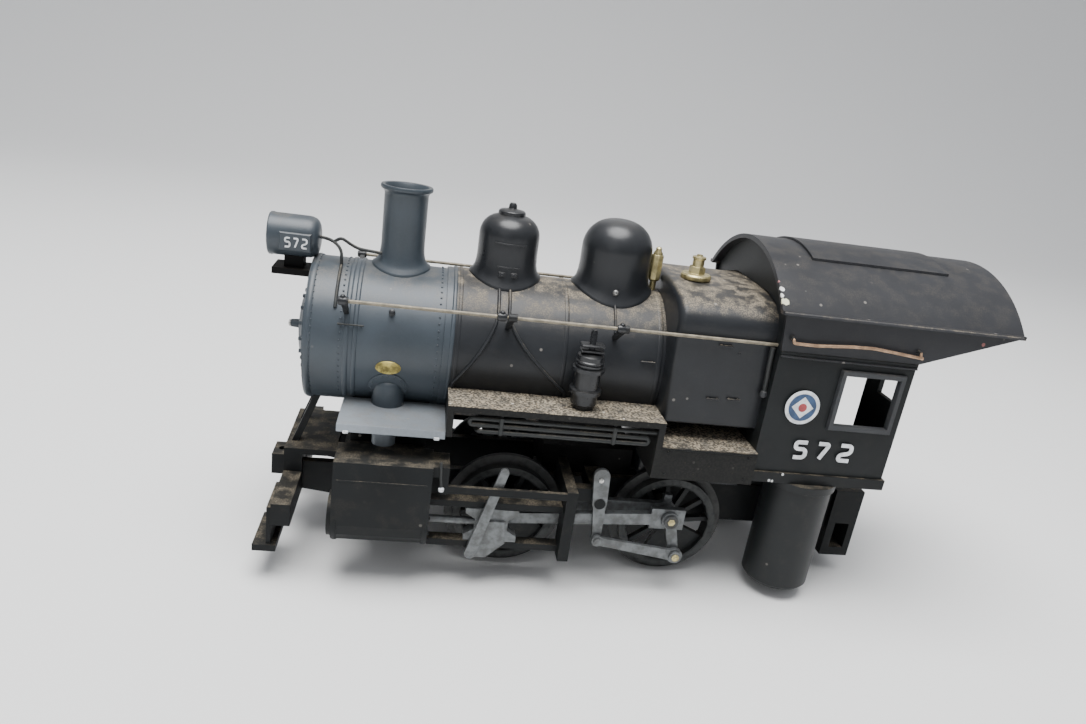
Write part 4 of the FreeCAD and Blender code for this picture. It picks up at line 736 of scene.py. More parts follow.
class ENGINE_OT_castings(bpy.types.Operator):
    """Rounded domes, smokestack, headlight, firebox, air pump, whistle and safety valve"""

    bl_idname = "engine.castings"
    bl_label = "Castings"

    def domes(self):
        skirt = [(2.4, -0.6, 1), (2.4, 0.5, 1), (2.1, 1.0, 1), (1.2, 1.7, 0.95), (0.6, 3.0, 0.8),
                 (0.2, 5.0, 0.45), (0.05, 7.2, 0.15), (0, 9.0, 0)]
        high = span("sand_dome")[1][2] - BARREL_Z - BARREL_R
        sand = [(SAND_DOME_R + r, z, drape) for r, z, drape in skirt]
        sand += [(SAND_DOME_R, 15.4, 0), (11.55, 16.9, 0), (11.1, 18.4, 0), (10.3, 19.9, 0), (9.0, 21.3, 0),
                 (7.3, 22.4, 0), (5.6, 23.0, 0), (5.2, 23.2, 0), (5.3, 23.6, 0), (5.2, 24.4, 0),
                 (4.6, 24.9, 0), (2.2, 25.3, 0), (1.6, 25.6, 0), (1.5, high - 0.8, 0), (1.0, high - 0.1, 0)]
        made = piece("sand_dome_casting", draped(sand, SAND_DOME_X, BARREL_R), "dome_black")
        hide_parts("sand_dome")
        high = span("steam_dome")[1][2] - BARREL_Z - BARREL_R
        turn = np.radians(np.linspace(0, 84, 15))
        steam = [(STEAM_DOME_R + r, z, drape) for r, z, drape in skirt]
        spring = 14.6
        steam += [(r, z, 0) for r, z in zip(STEAM_DOME_R * np.cos(turn) ** 0.8,
                                            spring + (high - spring) * np.sin(turn))]
        made = piece("steam_dome_casting", draped(steam, STEAM_DOME_X, BARREL_R), "dome_black")
        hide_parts("steam_dome")

    def stack(self):
        top = span("smokestack")[1][2] - BARREL_Z - SMOKEBOX_R
        rows = [(11.2, -0.8, 1), (11.2, 0.4, 1), (10.9, 0.9, 1), (9.8, 1.6, 0.95), (9.0, 2.8, 0.8),
                (8.5, 4.6, 0.5), (8.25, 7.0, 0.15), (STACK_R, 9.5, 0), (STACK_R, top - 3.4, 0),
                (8.35, top - 2.6, 0),
                (8.9, top - 1.9, 0), (9.6, top - 1.5, 0), (9.75, top - 1.1, 0), (9.75, top - 0.4, 0),
                (9.5, top, 0), (8.3, top - 0.1, 0), (7.6, top - 1.2, 0), (6.9, top - 4.0, 0),
                (6.5, top - 9.0, 0), (6.5, -0.8, 1)]
        made = piece("stack_casting", draped(rows, STACK_X, SMOKEBOX_R, 96, True), "graphite_paint")
        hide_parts("smokestack")

    def headlight(self):
        low, high = span("headlight")
        length = high[0] - low[0]
        rows = [(0.6, 5.0), (5.0, 4.2), (6.3, 3.2), (6.5, 0.35), (6.8, 0), (7.6, 0), (7.95, 0.35), (8.0, 1.3),
                (7.8, 1.9), (7.8, length - 4.6), (7.65, length - 3.2), (7.2, length - 1.9),
                (6.4, length - 0.9), (5.2, length - 0.3), (3.8, length)]
        made = piece("headlight_casting", turned(rows, (low[0], 0, (low[2] + high[2]) / 2), (1, 0, 0), 72),
                     "graphite_paint")
        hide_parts("headlight")

    def firebox(self):
        """The section is |y / half|^2.8 + |(z - spring) / rise|^2.8 = 1 over a skirt and a narrow leg; its
        front edge is rounded by a quarter circle that draws the section in."""
        low, high = FIREBOX
        half, top, rise, skirt, leg = high[1], high[2], 14.0, 73.0, 20.0
        turn = np.linspace(0, np.pi, 61)
        y = half * np.sign(np.cos(turn)) * np.abs(np.cos(turn)) ** (2 / 2.8)
        z = top - rise + rise * np.sin(turn) ** (2 / 2.8)
        crown = np.stack([y, z], axis=1)
        outline = np.vstack([[(leg, low[2]), (leg, skirt), (half - 0.6, skirt), (half, skirt + 0.6)], crown,
                             [(-half, skirt + 0.6), (0.6 - half, skirt), (-leg, skirt), (-leg, low[2])]])
        quarter = np.radians(np.linspace(0, 90, 9))
        inset = np.append(3.0 * (1 - np.sin(quarter)), 0)
        xs = np.append(low[0] + 3.0 * (1 - np.cos(quarter)), high[0])
        middle = np.array([0, 90.0])
        rings = middle + (outline - middle) * (1 - inset[:, None, None] / half)
        stations = np.broadcast_to(xs[:, None, None], (*rings.shape[:2], 1))
        shell = closed_grid(np.concatenate([stations, rings], axis=2)[None])
        cavity = block((low[0] + 3.0, 2.5 - leg, low[2] + 0.6), (high[0] - 2.5, leg - 2.5, top - 8.0))
        cavity.quads, cavity.tris = cavity.quads[:, ::-1], cavity.tris[:, ::-1]
        made = piece("firebox_casting", shell + cavity, "boiler_black")
        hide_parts("firebox")

    def fittings(self):
        low, high = span("air_pump")
        axis = ((low[0] + high[0]) / 2, (low[1] + high[1]) / 2, 0)
        base, top = low[2], high[2]
        rows = [(3.8, base), (3.8, base + 1.5), (5.0, base + 2.2), (5.0, 81.9), (6.1, 82.2), (6.1, 83.8),
                (4.9, 84.2), (4.9, 90.4), (6.1, 90.8), (6.1, 92.2), (4.9, 92.5), (5.4, 93.0), (5.4, 93.5),
                (4.9, 93.9), (5.4, 94.3), (5.4, 94.8), (4.9, 95.2), (4.9, 96.8), (4.2, 97.3), (1.4, 97.6),
                (1.2, 98.2), (1.2, top - 1.0), (0.8, top)]
        plates = many([block((axis[0] - 4.2, axis[1] - 2.6, z), (axis[0] + 4.6, axis[1] + 2.6, z + 0.8), 0.2)
                       for z in (98.2, 100.3)])
        made = piece("air_pump_casting", turned(rows, axis, (0, 0, 1), 56) + plates, "dome_black")
        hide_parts("air_pump")
        low, high = span("whistle")
        axis, top = ((low[0] + high[0]) / 2, (low[1] + high[1]) / 2, 0), high[2]
        stem = turned([(1.3, low[2]), (1.3, top - 13.2)], axis, (0, 0, 1), 20)
        bell = turned([(1.8, top - 13.6), (2.6, top - 12.9), (2.6, top - 3.6), (2.2, top - 3.0)], axis,
                      (0, 0, 1), 8)
        tip = turned([(1.9, top - 3.2), (1.9, top - 2.4), (1.2, top - 1.4), (1.2, top - 0.5), (0.7, top)],
                     axis, (0, 0, 1), 20)
        made = piece("whistle_casting", many([stem, bell, tip]), "brass")
        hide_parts("whistle")
        low, high = span("safety_valve")
        axis, base, top = ((low[0] + high[0]) / 2, (low[1] + high[1]) / 2, 0), low[2], high[2]
        foot = turned([(5.8, base), (6.0, base + 0.4), (6.0, base + 1.5), (5.5, base + 2.1),
                       (3.4, base + 2.3)],
                      axis, (0, 0, 1), 40)
        nut = turned([(3.2, base + 2.2), (3.2, base + 4.6), (2.9, base + 5.0)], axis, (0, 0, 1), 6)
        pop = turned([(2.3, base + 4.9), (2.3, top - 2.0), (2.7, top - 1.7), (2.7, top - 0.9),
                      (1.2, top - 0.5), (1.1, top)], axis, (0, 0, 1), 28)
        made = piece("safety_valve_casting", many([foot, nut, pop]), "brass")
        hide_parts("safety_valve")

    def execute(self, context):
        self.domes()
        self.stack()
        self.headlight()
        self.firebox()
        self.fittings()
        return {"FINISHED"}


# ---------------------------------------------------------------- rivets, bands and plates of the barrel


def dome_profile(radius, height):
    """A rivet's round head."""
    return [(radius, -0.3), (radius, 0.02), (radius * 0.82, height * 0.62), (radius * 0.4, height * 0.95)]


def bolt_profile(radius, height):
    """A bolt's flat head with a small bevel."""
    return [(radius, -0.3), (radius, height * 0.82), (radius * 0.86, height)]


class ENGINE_OT_smokebox_trim(bpy.types.Operator):
    """Rivet rows, raised bands, front ring, oval plate, knob and steam pipe drum of the smokebox"""

    bl_idname = "engine.smokebox_trim"
    bl_label = "Smokebox trim"

    def execute(self, context):
        sizes = context.scene.engine_trim
        step = 2 * np.pi / sizes.rivets_around
        angle = np.arange(-np.radians(128), np.radians(129), step)
        rows = [-123.4, -112.9, -77.4, -74.6]
        stagger = [0, 0.5, 0, 0.5]
        angles = np.concatenate([angle + shift * step for shift in stagger])
        xs = np.repeat(rows, len(angle))
        rivet = dome_profile(sizes.rivet_radius / MM, sizes.rivet_height / MM)
        piece("smokebox_rivets", turned(rivet, barrel_point(xs, angles, SMOKEBOX_R), barrel_normal(angles),
                                        7),
              "graphite_paint")
        bands = many([barrel_band(-111.6, -109.6, SMOKEBOX_R, 0.42, -140, 140),
                      barrel_band(-108.4, -106.6, SMOKEBOX_R, 0.42, -140, 140),
                      barrel_band(-73.4, -71.2, SMOKEBOX_R, 1.25, -128, 128)])
        piece("smokebox_bands", bands, "graphite_paint")
        ring = np.arange(0, 2 * np.pi, 2 * np.pi / 26)
        face = np.stack([np.full_like(ring, SMOKEBOX_X + 0.05), 24.3 * np.sin(ring),
                         BARREL_Z + 24.3 * np.cos(ring)], axis=1)
        piece("smokebox_front_bolts", turned(bolt_profile(0.75, 0.7), face, (-1, 0, 0), 6), "graphite_paint")
        axis = (SMOKEBOX_X, 0, BARREL_Z)
        edge = turned_ring([(26.0, 0.2), (26.9, -0.05), (27.7, 0.25), (28.1, 0.95), (28.1, 2.1), (27.7, 2.7),
                            (27.0, 2.7)], axis, (-1, 0, 0))
        piece("smokebox_front_ring", edge, "graphite_paint")
        for side, name in SIDES.items():
            drum = turned([(6.2, 0), (6.2, 8.2), (5.9, 9.4), (5.0, 10.3), (3.6, 10.8)], (-94.2, -20.2, 64.9),
                          (0, 0, 1), 48)
            piece(f"steam_pipe_drum_{name}", drum.on(side), "graphite_paint")
            oval = barrel_disc(-94.7, np.radians(101), SMOKEBOX_R, 4.7, 2.7,
                               [(1, -0.3), (1, 0.35), (0.93, 0.55), (0.84, 0.55), (0.80, 0.32), (0.42, 0.32),
                                (0.36, 0.5), (0.2, 0.52)])
            piece(f"number_oval_{name}", oval.on(side), "plate_brass")
            knob_at = np.radians(58)
            knob = turned([(1.15, -0.4), (1.15, 0.5), (0.75, 0.8), (0.75, 1.2), (1.05, 1.45), (1.12, 1.95),
                           (0.85, 2.4), (0.4, 2.55)], barrel_point(-94.8, knob_at, SMOKEBOX_R),
                          barrel_normal(knob_at), 20)
            piece(f"smokebox_knob_{name}", knob.on(side), "dome_black")
            bar_at = np.radians(70)
            bar = rod(barrel_point(np.linspace(-113.8, -104.4, 8), bar_at, SMOKEBOX_R + 1.0), 0.34)
            feet = turned([(0.4, -0.3), (0.4, 1.0), (0.3, 1.2)],
                          barrel_point(np.array([-112.6, -105.4]), bar_at, SMOKEBOX_R),
                          barrel_normal(bar_at), 8)
            piece(f"smokebox_bar_{name}", (bar + feet).on(side), "pipe_grey")
            turn = np.linspace(0, 2 * np.pi, 16, endpoint=False)
            stud_angle = STEAM_PIPE_ANGLE + 6.0 * np.sin(turn) / SMOKEBOX_R
            around = barrel_point(STEAM_PIPE_X + 6.4 * np.cos(turn), stud_angle, SMOKEBOX_R)
            flange = barrel_disc(STEAM_PIPE_X, STEAM_PIPE_ANGLE, SMOKEBOX_R, 7.4, 7.0,
                                 [(1, -0.3), (1, 0.3), (0.95, 0.45), (0.5, 0.45)])
            studs = turned(dome_profile(0.42, 0.85), around, barrel_normal(stud_angle), 7)
            piece(f"steam_pipe_flange_{name}", (flange + studs).on(side), "graphite_paint")
        return {"FINISHED"}


class ENGINE_OT_door_trim(bpy.types.Operator):
    """Dogs and centre handle of the smokebox door"""

    bl_idname = "engine.door_trim"
    bl_label = "Door trim"

    def execute(self, context):
        low, high = span("smokebox_door")
        ring = np.arange(0, 2 * np.pi, 2 * np.pi / 14) + 0.1
        front = low[0]
        dogs = np.stack([np.full_like(ring, high[0] - 1.6), 13.4 * np.sin(ring),
                         BARREL_Z + 13.4 * np.cos(ring)],
                        axis=1)
        piece("door_dogs", turned(bolt_profile(0.8, 1.3), dogs, (-1, 0, 0), 6), "door_paint", "door")
        handle = turned([(1.5, 0), (1.5, 0.8), (0.9, 1.1), (0.9, 1.5), (1.3, 1.8), (1.3, 2.3), (0.7, 2.6)],
                        (front + 1.6, 0, BARREL_Z), (-1, 0, 0), 20)
        piece("door_handle", handle, "bright_steel", "door")
        return {"FINISHED"}


class ENGINE_OT_boiler_trim(bpy.types.Operator):
    """Sand pipes, dome pipe, bands and wash-out fittings of the boiler and firebox"""

    bl_idname = "engine.boiler_trim"
    bl_label = "Boiler trim"

    def execute(self, context):
        sizes = context.scene.engine_trim
        bands = many([barrel_band(-30.6, -28.8, BARREL_R, 0.22, -150, 150),
                      barrel_band(-70.9, -69.4, BARREL_R, 0.20, -150, 150),
                      barrel_band(6.2, 8.4, BARREL_R, 0.22, -150, 150)])
        piece("boiler_bands", bands, "boiler_black")
        radius = sizes.pipe_radius / MM
        share = np.linspace(0, 1, 40)
        for side, name in SIDES.items():
            pipes = []
            for top_x, low_x in ((-55.9, -70.6), (-51.8, -27.6)):
                angle = np.radians(29 + 84 * share)
                lean = np.clip((share - 0.22) / 0.72, 0, 1)
                xs = top_x + (low_x - top_x) * lean * lean * (1.6 - 0.6 * lean)
                pipes.append(rod(barrel_point(xs, angle, BARREL_R + radius * 0.8), radius, (0.2, -1, 0.4),
                                 10))
            piece(f"sand_pipes_{name}", many(pipes).on(side), "boiler_black")
            angle = np.radians(np.linspace(30, 57, 12))
            down = rod(barrel_point(-10.9, angle, BARREL_R + 0.4), 0.5, (1, 0, 0), 10)
            piece(f"dome_drain_{name}", down.on(side), "boiler_black")
            bolt = turned([(1.25, -0.5), (1.25, 0.5), (0.95, 1.0), (0.5, 1.2)], (-11.1, -14.0, 115.9),
                          (0, -1, 0.1), 16)
            piece(f"dome_bolt_{name}", bolt.on(side), "axle_steel")
            x, low_angle, side_y = 2.6, np.radians(76.5), -36.3
            feet = barrel_point(np.array([x - 1.9, x + 1.9]), low_angle, BARREL_R)
            handles = [rod(barrel_point(np.linspace(x - 2.8, x + 2.8, 6), low_angle, BARREL_R + 0.9), 0.36),
                       turned([(0.45, -0.3), (0.45, 0.9)], feet, barrel_normal(low_angle), 8)]
            for x, z in ((28.1, 84.3), (36.3, 84.8), (28.7, 105.8)):
                handles.append(rod([(x - 2.6, side_y - 0.9, z), (x, side_y - 0.95, z),
                                    (x + 2.6, side_y - 0.9, z)],
                                   0.34))
                handles.append(turned([(0.42, -0.3), (0.42, 0.9)],
                                      [(x - 1.8, side_y, z), (x + 1.8, side_y, z)],
                                      (0, -1, 0), 8))
            handles.append(turned(dome_profile(0.6, 0.5), (34.7, -36.2, 103.1), (0, -1, 0), 12))
            piece(f"wash_out_fittings_{name}", many(handles).on(side), "boiler_black")
        return {"FINISHED"}


class ENGINE_OT_dome_trim(bpy.types.Operator):
    """Moulded bars and valve boxes on the sand dome's sides"""

    bl_idname = "engine.dome_trim"
    bl_label = "Dome trim"

    def execute(self, context):
        x, radius = SAND_DOME_X, SAND_DOME_R
        for side, name in SIDES.items():
            skins = []
            for z, half in ((129.2, 30), (120.4, 21)):
                angle = np.radians(np.linspace(-half, half, 12))
                path = np.stack([x + (radius + 0.05) * np.sin(angle), -(radius + 0.05) * np.cos(angle),
                                 np.full_like(angle, z)], axis=1)
                skins.append(carried([(-0.3, -0.3), (0.3, -0.3), (0.3, 0.3), (-0.3, 0.3)], path, (0, 0, 1)))
            for lean in (-11, 11):
                a = np.radians(lean)
                centre = np.array([x + radius * np.sin(a), -radius * np.cos(a), 117.6])
                skins.append(block(centre - (1.5, 0.7, 1.1), centre + (1.5, 0.7, 1.1), 0.35))
                skins.append(turned([(0.75, 0), (0.75, 0.8), (0.45, 1.0)], centre - (0, 0.6, 0), (0, -1, 0),
                                    14))
            piece(f"sand_valves_{name}", many(skins).on(side), "dome_black")
        return {"FINISHED"}


# ---------------------------------------------------------------- headlight, wires and rails


DIGIT_PATHS = {"5": [(1, 1), (0, 1), (0, 0.56), (1, 0.56), (1, 0), (0, 0)],
               "7": [(0, 1), (1, 1), (0.3, 0)],
               "2": [(0, 1), (1, 1), (1, 0.52), (0, 0.34), (0, 0), (1, 0)]}


def number(text, left_edge, base, y, width, height, stroke, gap, depth=0.25):
    """Digits standing proud of a side plate. Each is one flat bar along a path with rounded corners."""
    section = [(-stroke / 2, -depth), (stroke / 2, -depth), (stroke / 2, depth), (-stroke / 2, depth)]
    skins = []
    for place, digit in enumerate(text):
        start = left_edge + stroke / 2 + place * (width + gap)
        corners = [(start + u * (width - stroke), y, base + stroke / 2 + w * (height - stroke))
                   for u, w in DIGIT_PATHS[digit]]
        path = bent(corners, 0.42 * height if digit != "7" else 0.2 * height, 9)
        skins.append(carried(section, path, (0, 1, 0)))
    return many(skins)


class ENGINE_OT_headlight_trim(bpy.types.Operator):
    """Number boards, their digits and wires of the headlight"""

    bl_idname = "engine.headlight_trim"
    bl_label = "Headlight trim"

    def execute(self, context):
        wire_r = context.scene.engine_trim.wire_radius / MM
        for side, name in SIDES.items():
            rings = np.array([[(-138.0, -6.2, 116.9), (-126.4, -6.2, 116.9), (-126.4, -6.2, 123.7),
                               (-138.0, -6.2, 123.7)],
                              [(-138.0, -7.4, 116.9), (-126.4, -7.9, 116.9), (-126.4, -8.2, 123.7),
                               (-138.0, -7.9, 123.7)],
                              [(-137.6, -7.8, 117.3), (-126.8, -8.3, 117.3), (-126.8, -8.7, 123.3),
                               (-137.6, -8.3, 123.3)]], float)
            piece(f"number_board_{name}", closed_grid(rings[None]).on(side), "graphite_paint")
            digits = number(ENGINE_NUMBER, -136.0, 118.2, -8.25, 2.3, 3.9, 0.6, 0.75, 0.42)
            piece(f"board_digits_{name}", digits.reading_on(side, -132.1), "white_enamel")
        down = bent([(-124.2, -2.5, 122.3), (-119.6, -3.8, 122.0), (-115.6, -6.0, 119.4),
                     (-115.2, -8.2, 114.6)], 2.6)
        angle = np.radians(np.linspace(17, 58, 14))
        hug = barrel_point(-115.2, angle, SMOKEBOX_R + wire_r * 0.9)
        piece("headlight_wire", rod(np.vstack([down, hug]), wire_r, (0, 1, 0.35), 10), "pipe_grey")
        across = bent([(-118.4, -4.2, 121.6), (-116.0, -4.4, 123.2), (-112.6, -4.6, 121.2),
                       (-109.4, -4.8, 119.8), (-100.9, -5.2, 119.2)], 2.4)
        piece("stack_wire", rod(across, wire_r, (0, 1, 0), 10), "pipe_grey")
        return {"FINISHED"}


class ENGINE_OT_rail_trim(bpy.types.Operator):
    """Black knobs where the handrails' wires pass through their posts"""

    bl_idname = "engine.rail_trim"
    bl_label = "Handrail trim"

    def execute(self, context):
        for side, name in SIDES.items():
            centres = [(x, -RAIL_Y, RAIL_Z) for x in (-111.3, -56.0, -12.2)]
            knobs = turned([(0.5, -1.9), (1.25, -1.7), (1.55, -0.9), (1.55, 0.9), (1.25, 1.7), (0.5, 1.9)],
                           centres, (1, 0, 0), 16)
            caps = turned([(1.0, 0), (1.0, 1.6), (0.7, 2.1), (0.3, 2.3)], centres, (0, 0, 1), 14)
            piece(f"rail_knobs_{name}", (knobs + caps).on(side), "dome_black")
        return {"FINISHED"}


class ENGINE_OT_cooling_pipes(bpy.types.Operator):
    """The pair of long pipes with return bends that hang under each running board"""

    bl_idname = "engine.cooling_pipes"
    bl_label = "Cooling pipes"

    def execute(self, context):
        radius = context.scene.engine_trim.cooling_radius / MM
        y, front, rear = -43.0, -62.5, 3.0
        heights = (71.0, 68.5, 66.0)
        turn = np.linspace(-np.pi / 2, np.pi / 2, 13)
        bend = (heights[0] - heights[1]) / 2

        def return_bend(x, z, way):
            return np.stack([x + way * bend * np.cos(turn), np.full_like(turn, y), z + bend * np.sin(turn)],
                            axis=1)

        top_bend = return_bend(front, (heights[0] + heights[1]) / 2, -1)
        low_bend = return_bend(rear, (heights[1] + heights[2]) / 2, 1)
        path = np.vstack([[(7.0, y, heights[0])], top_bend[::-1], low_bend[::-1], [(-58.0, y, heights[2])]])
        pipes = rod(path, radius, (0, 1, 0), 12)
        tail = rod(bent([(-58.0, y, heights[2]), (-60.5, y, heights[2]), (-61.0, -39.0, 65.6)], 1.5), radius,
                   (0, 0, 1), 12)
        clips = many([block((x - 0.8, y - 1.15, 64.9), (x + 0.8, y + 0.2, 72.2), 0.3) for x in (-52.0, -9.3)])
        hangers = many([rod([(x, y + 0.4, 70.5), (x, y + 0.4, 73.8)], 0.6, (0, 1, 0), 8)
                        for x in (-52.0, -9.3)])
        for side, name in SIDES.items():
            piece(f"cooling_pipes_{name}", (pipes + tail).on(side), "pipe_grey")
            piece(f"cooling_clips_{name}", (clips + hangers).on(side), "pipe_grey")
        return {"FINISHED"}


# ---------------------------------------------------------------- cab and roof


def window_bars(x0, x1, z0, z1, width, y, depth):
    """Four bars round an opening, mitred into one ring: the outer and inner rectangles at the near and far
    depth are joined round as a closed band."""
    def ring(grow):
        return np.array([(x0 - grow, z0 - grow), (x1 + grow, z0 - grow), (x1 + grow, z1 + grow),
                         (x0 - grow, z1 + grow)])
    levels = [(0, y), (0, y - depth * 0.8), (-0.25, y - depth), (-width + 0.25, y - depth),
              (-width, y - depth * 0.8), (-width, y)]
    rings = np.stack([np.stack([ring(grow)[:, 0], np.full(4, at), ring(grow)[:, 1]], axis=1)
                      for grow, at in levels], axis=1)
    count, around = rings.shape[:2]
    index = np.arange(count * around).reshape(count, around)
    next_corner, next_level = np.roll(index, -1, axis=0), np.roll(index, -1, axis=1)
    both = np.roll(next_corner, -1, axis=1)
    return Skin(rings.reshape(-1, 3), np.stack([index, next_corner, both, next_level], axis=-1)).facing_out()


class ENGINE_OT_cab_trim(bpy.types.Operator):
    """Window frames, roundel, number, ledge, corner pipes and grab rails of the cab"""

    bl_idname = "engine.cab_trim"
    bl_label = "Cab trim"

    def execute(self, context):
        width = context.scene.engine_trim.window_frame / MM
        wall = CAB[0][1]
        rim = [(6.9, -0.1), (6.9, 0.16), (6.6, 0.24), (5.6, 0.24), (5.5, 0.1)]
        roundel = (("rim", rim, 48, "white_enamel"),
                   ("field", [(5.5, -0.1), (5.5, 0.19), (3.2, 0.19)], 48, "blue_enamel"),
                   ("diamond", [(4.4, -0.1), (4.4, 0.27), (4.2, 0.3)], 4, "white_enamel"),
                   ("centre", [(1.7, -0.1), (1.7, 0.36), (1.5, 0.38)], 24, "red_enamel"))
        for side, name in SIDES.items():
            bars = window_bars(73.9, 100.3, 78.1, 102.6, width, wall + 1.7, 2.7)
            piece(f"window_frame_{name}", bars.on(side), "frame_grey")
            ledge = block((CAB[0][0] + 0.1, wall - 0.75, 105.4), (CAB[1][0] - 0.2, wall + 0.2, 106.2), 0.25)
            piece(f"cab_ledge_{name}", ledge.on(side), "roof_black")
            digits = number(ENGINE_NUMBER, 62.6, 64.6, wall, 6.1, 8.0, 1.55, 3.3, 0.18)
            middle_x = (CAB[0][0] + CAB[1][0]) / 2
            piece(f"cab_number_{name}", digits.reading_on(side, middle_x), "white_enamel")
            for part, profile, sides, paint in roundel:
                disc = turned(profile, (61.8, wall, 86.2), (0, -1, 0), sides)
                piece(f"roundel_{part}_{name}", disc.on(side), paint)
            pipe = rod([(46.2, -38.6, 107.4), (46.5, -38.5, 100), (46.9, -38.4, 95), (47.1, -38.2, 89.8)],
                       1.0, (0, 1, 0), 14)
            piece(f"corner_pipe_{name}", pipe.on(side), "pipe_grey")
            foot = turned([(0.7, -1.4), (1.35, -1.0), (1.55, 0), (1.3, 1.1), (0.8, 1.5)], (47.1, -38.3, 88.6),
                          (0, 0, 1), 16)
            piece(f"corner_pipe_foot_{name}", foot.on(side), "frame_grey")
            y = -44.3
            rail = bent([(50.6, -42.4, 113.2), (50.8, y, 113.0), (51.2, y, 111.5), (60, y, 111.4),
                         (74, y, 112.4), (83, y, 112.6), (103.4, y, 110.6)], 1.8, 6)
            posts = turned([(0.9, -0.4), (0.9, 0.4), (0.6, 0.8), (0.6, 2.2)],
                           [(50.6, -42.2, 113.3), (102.0, -42.2, 112.6)], (0, -1, 0), 14)
            drop = rod([(102.0, y, 112.8), (102.3, y, 111.6), (102.6, y, 110.8)], 0.55, (0, 1, 0), 10)
            piece(f"grab_rail_{name}", (rod(rail, 0.62, (0.1, 0.3, 1), 12) + drop).on(side), "copper")
            piece(f"grab_posts_{name}", posts.on(side), "pipe_grey")
        return {"FINISHED"}


class ENGINE_OT_roof_trim(bpy.types.Operator):
    """Gutter strips along the eaves and the raised strip on the crest"""

    bl_idname = "engine.roof_trim"
    bl_label = "Roof trim"

    def execute(self, context):
        front, rear = ROOF[0][0] + 0.2, ROOF[1][0] - 1.5
        for side, name in SIDES.items():
            path = np.stack([np.linspace(front, rear, 24), np.full(24, ROOF[0][1] - 0.15),
                             np.full(24, 122.3)], axis=1)
            section = [(-0.5, -0.55), (0.55, -0.45), (0.6, 0.3), (0.1, 0.75), (-0.5, 0.6)]
            piece(f"gutter_{name}", carried(section, path, (0, 0, 1)).on(side), "gutter_worn")
        top = ROOF[1][2]
        crest = block((89.5, -1.6, top - 0.9), (112.5, 3.4, min(top + 0.5, CAD_BOX[1][2] / MM - 0.05)), 0.3)
        piece("roof_strip", crest, "roof_black")
        return {"FINISHED"}


# ---------------------------------------------------------------- running gear and cylinders


class ENGINE_OT_cylinder_trim(bpy.types.Operator):
    """Flanges, cover bolts and seams of the cylinders, and the drain rod beside each"""

    bl_idname = "engine.cylinder_trim"
    bl_label = "Cylinder trim"

    def execute(self, context):
        front, rear = -110.6, -75.2
        for side, name in SIDES.items():
            axis = (CYLINDER_Y, CYLINDER_Z)
            flanges = [turned([(7.5, -0.2), (CYLINDER_R + 0.15, -0.2), (CYLINDER_R + 0.35, 0.3),
                               (CYLINDER_R + 0.35, 1.4), (CYLINDER_R + 0.1, 1.8), (7.5, 1.8)],
                              (start, -axis[0], axis[1]), (1, 0, 0), 48)
                       for start in (front + 0.4, rear - 2.0)]
            turn = np.arange(8) * np.pi / 4 + 0.3
            bolts = []
            for x, way in ((front, -1), (rear, 1)):
                at = np.stack([np.full(8, x), -axis[0] + 7.9 * np.cos(turn), axis[1] + 7.9 * np.sin(turn)],
                              axis=1)
                bolts.append(turned(bolt_profile(0.62, 0.6), at, (way, 0, 0), 6))
            piece(f"cylinder_flanges_{name}", many(flanges + bolts).on(side), "cylinder_black")
            seam = block((front + 1.5, -CYLINDER_Y - CYLINDER_R - 0.2, 45.9),
                         (rear - 1.5, -CYLINDER_Y - CYLINDER_R + 0.4, 46.4), 0.15)
            rod_down = rod([(-72.6, -48.6, 54.8), (-72.3, -48.6, 50), (-71.8, -48.6, 44.4)], 0.62,
                           (0, 1, 0), 10)
            piece(f"chest_rod_{name}", rod_down.on(side), "pipe_grey")
            foot = turned([(0.5, -0.9), (1.05, -0.6), (1.15, 0.4), (0.7, 0.9)], (-71.7, -48.7, 43.9),
                          (0, 0, 1), 12)
            piece(f"chest_rod_foot_{name}", foot.on(side), "white_enamel")
            piece(f"chest_seam_{name}", seam.on(side), "cylinder_black")
            clips = many([block((x - 1.0, -44.4, 61.4), (x + 1.0, -43.0, 62.6), 0.2)
                          for x in (-107.5, -75.0)])
            piece(f"plate_clips_{name}", clips.on(side), "white_enamel")
        return {"FINISHED"}


def on_wheel(radius, angle):
    """A pin's place on the rear wheel: axle + radius * (cos, sin)."""
    return AXLE_X["rear"] + radius * np.cos(angle), AXLE_Z + radius * np.sin(angle)


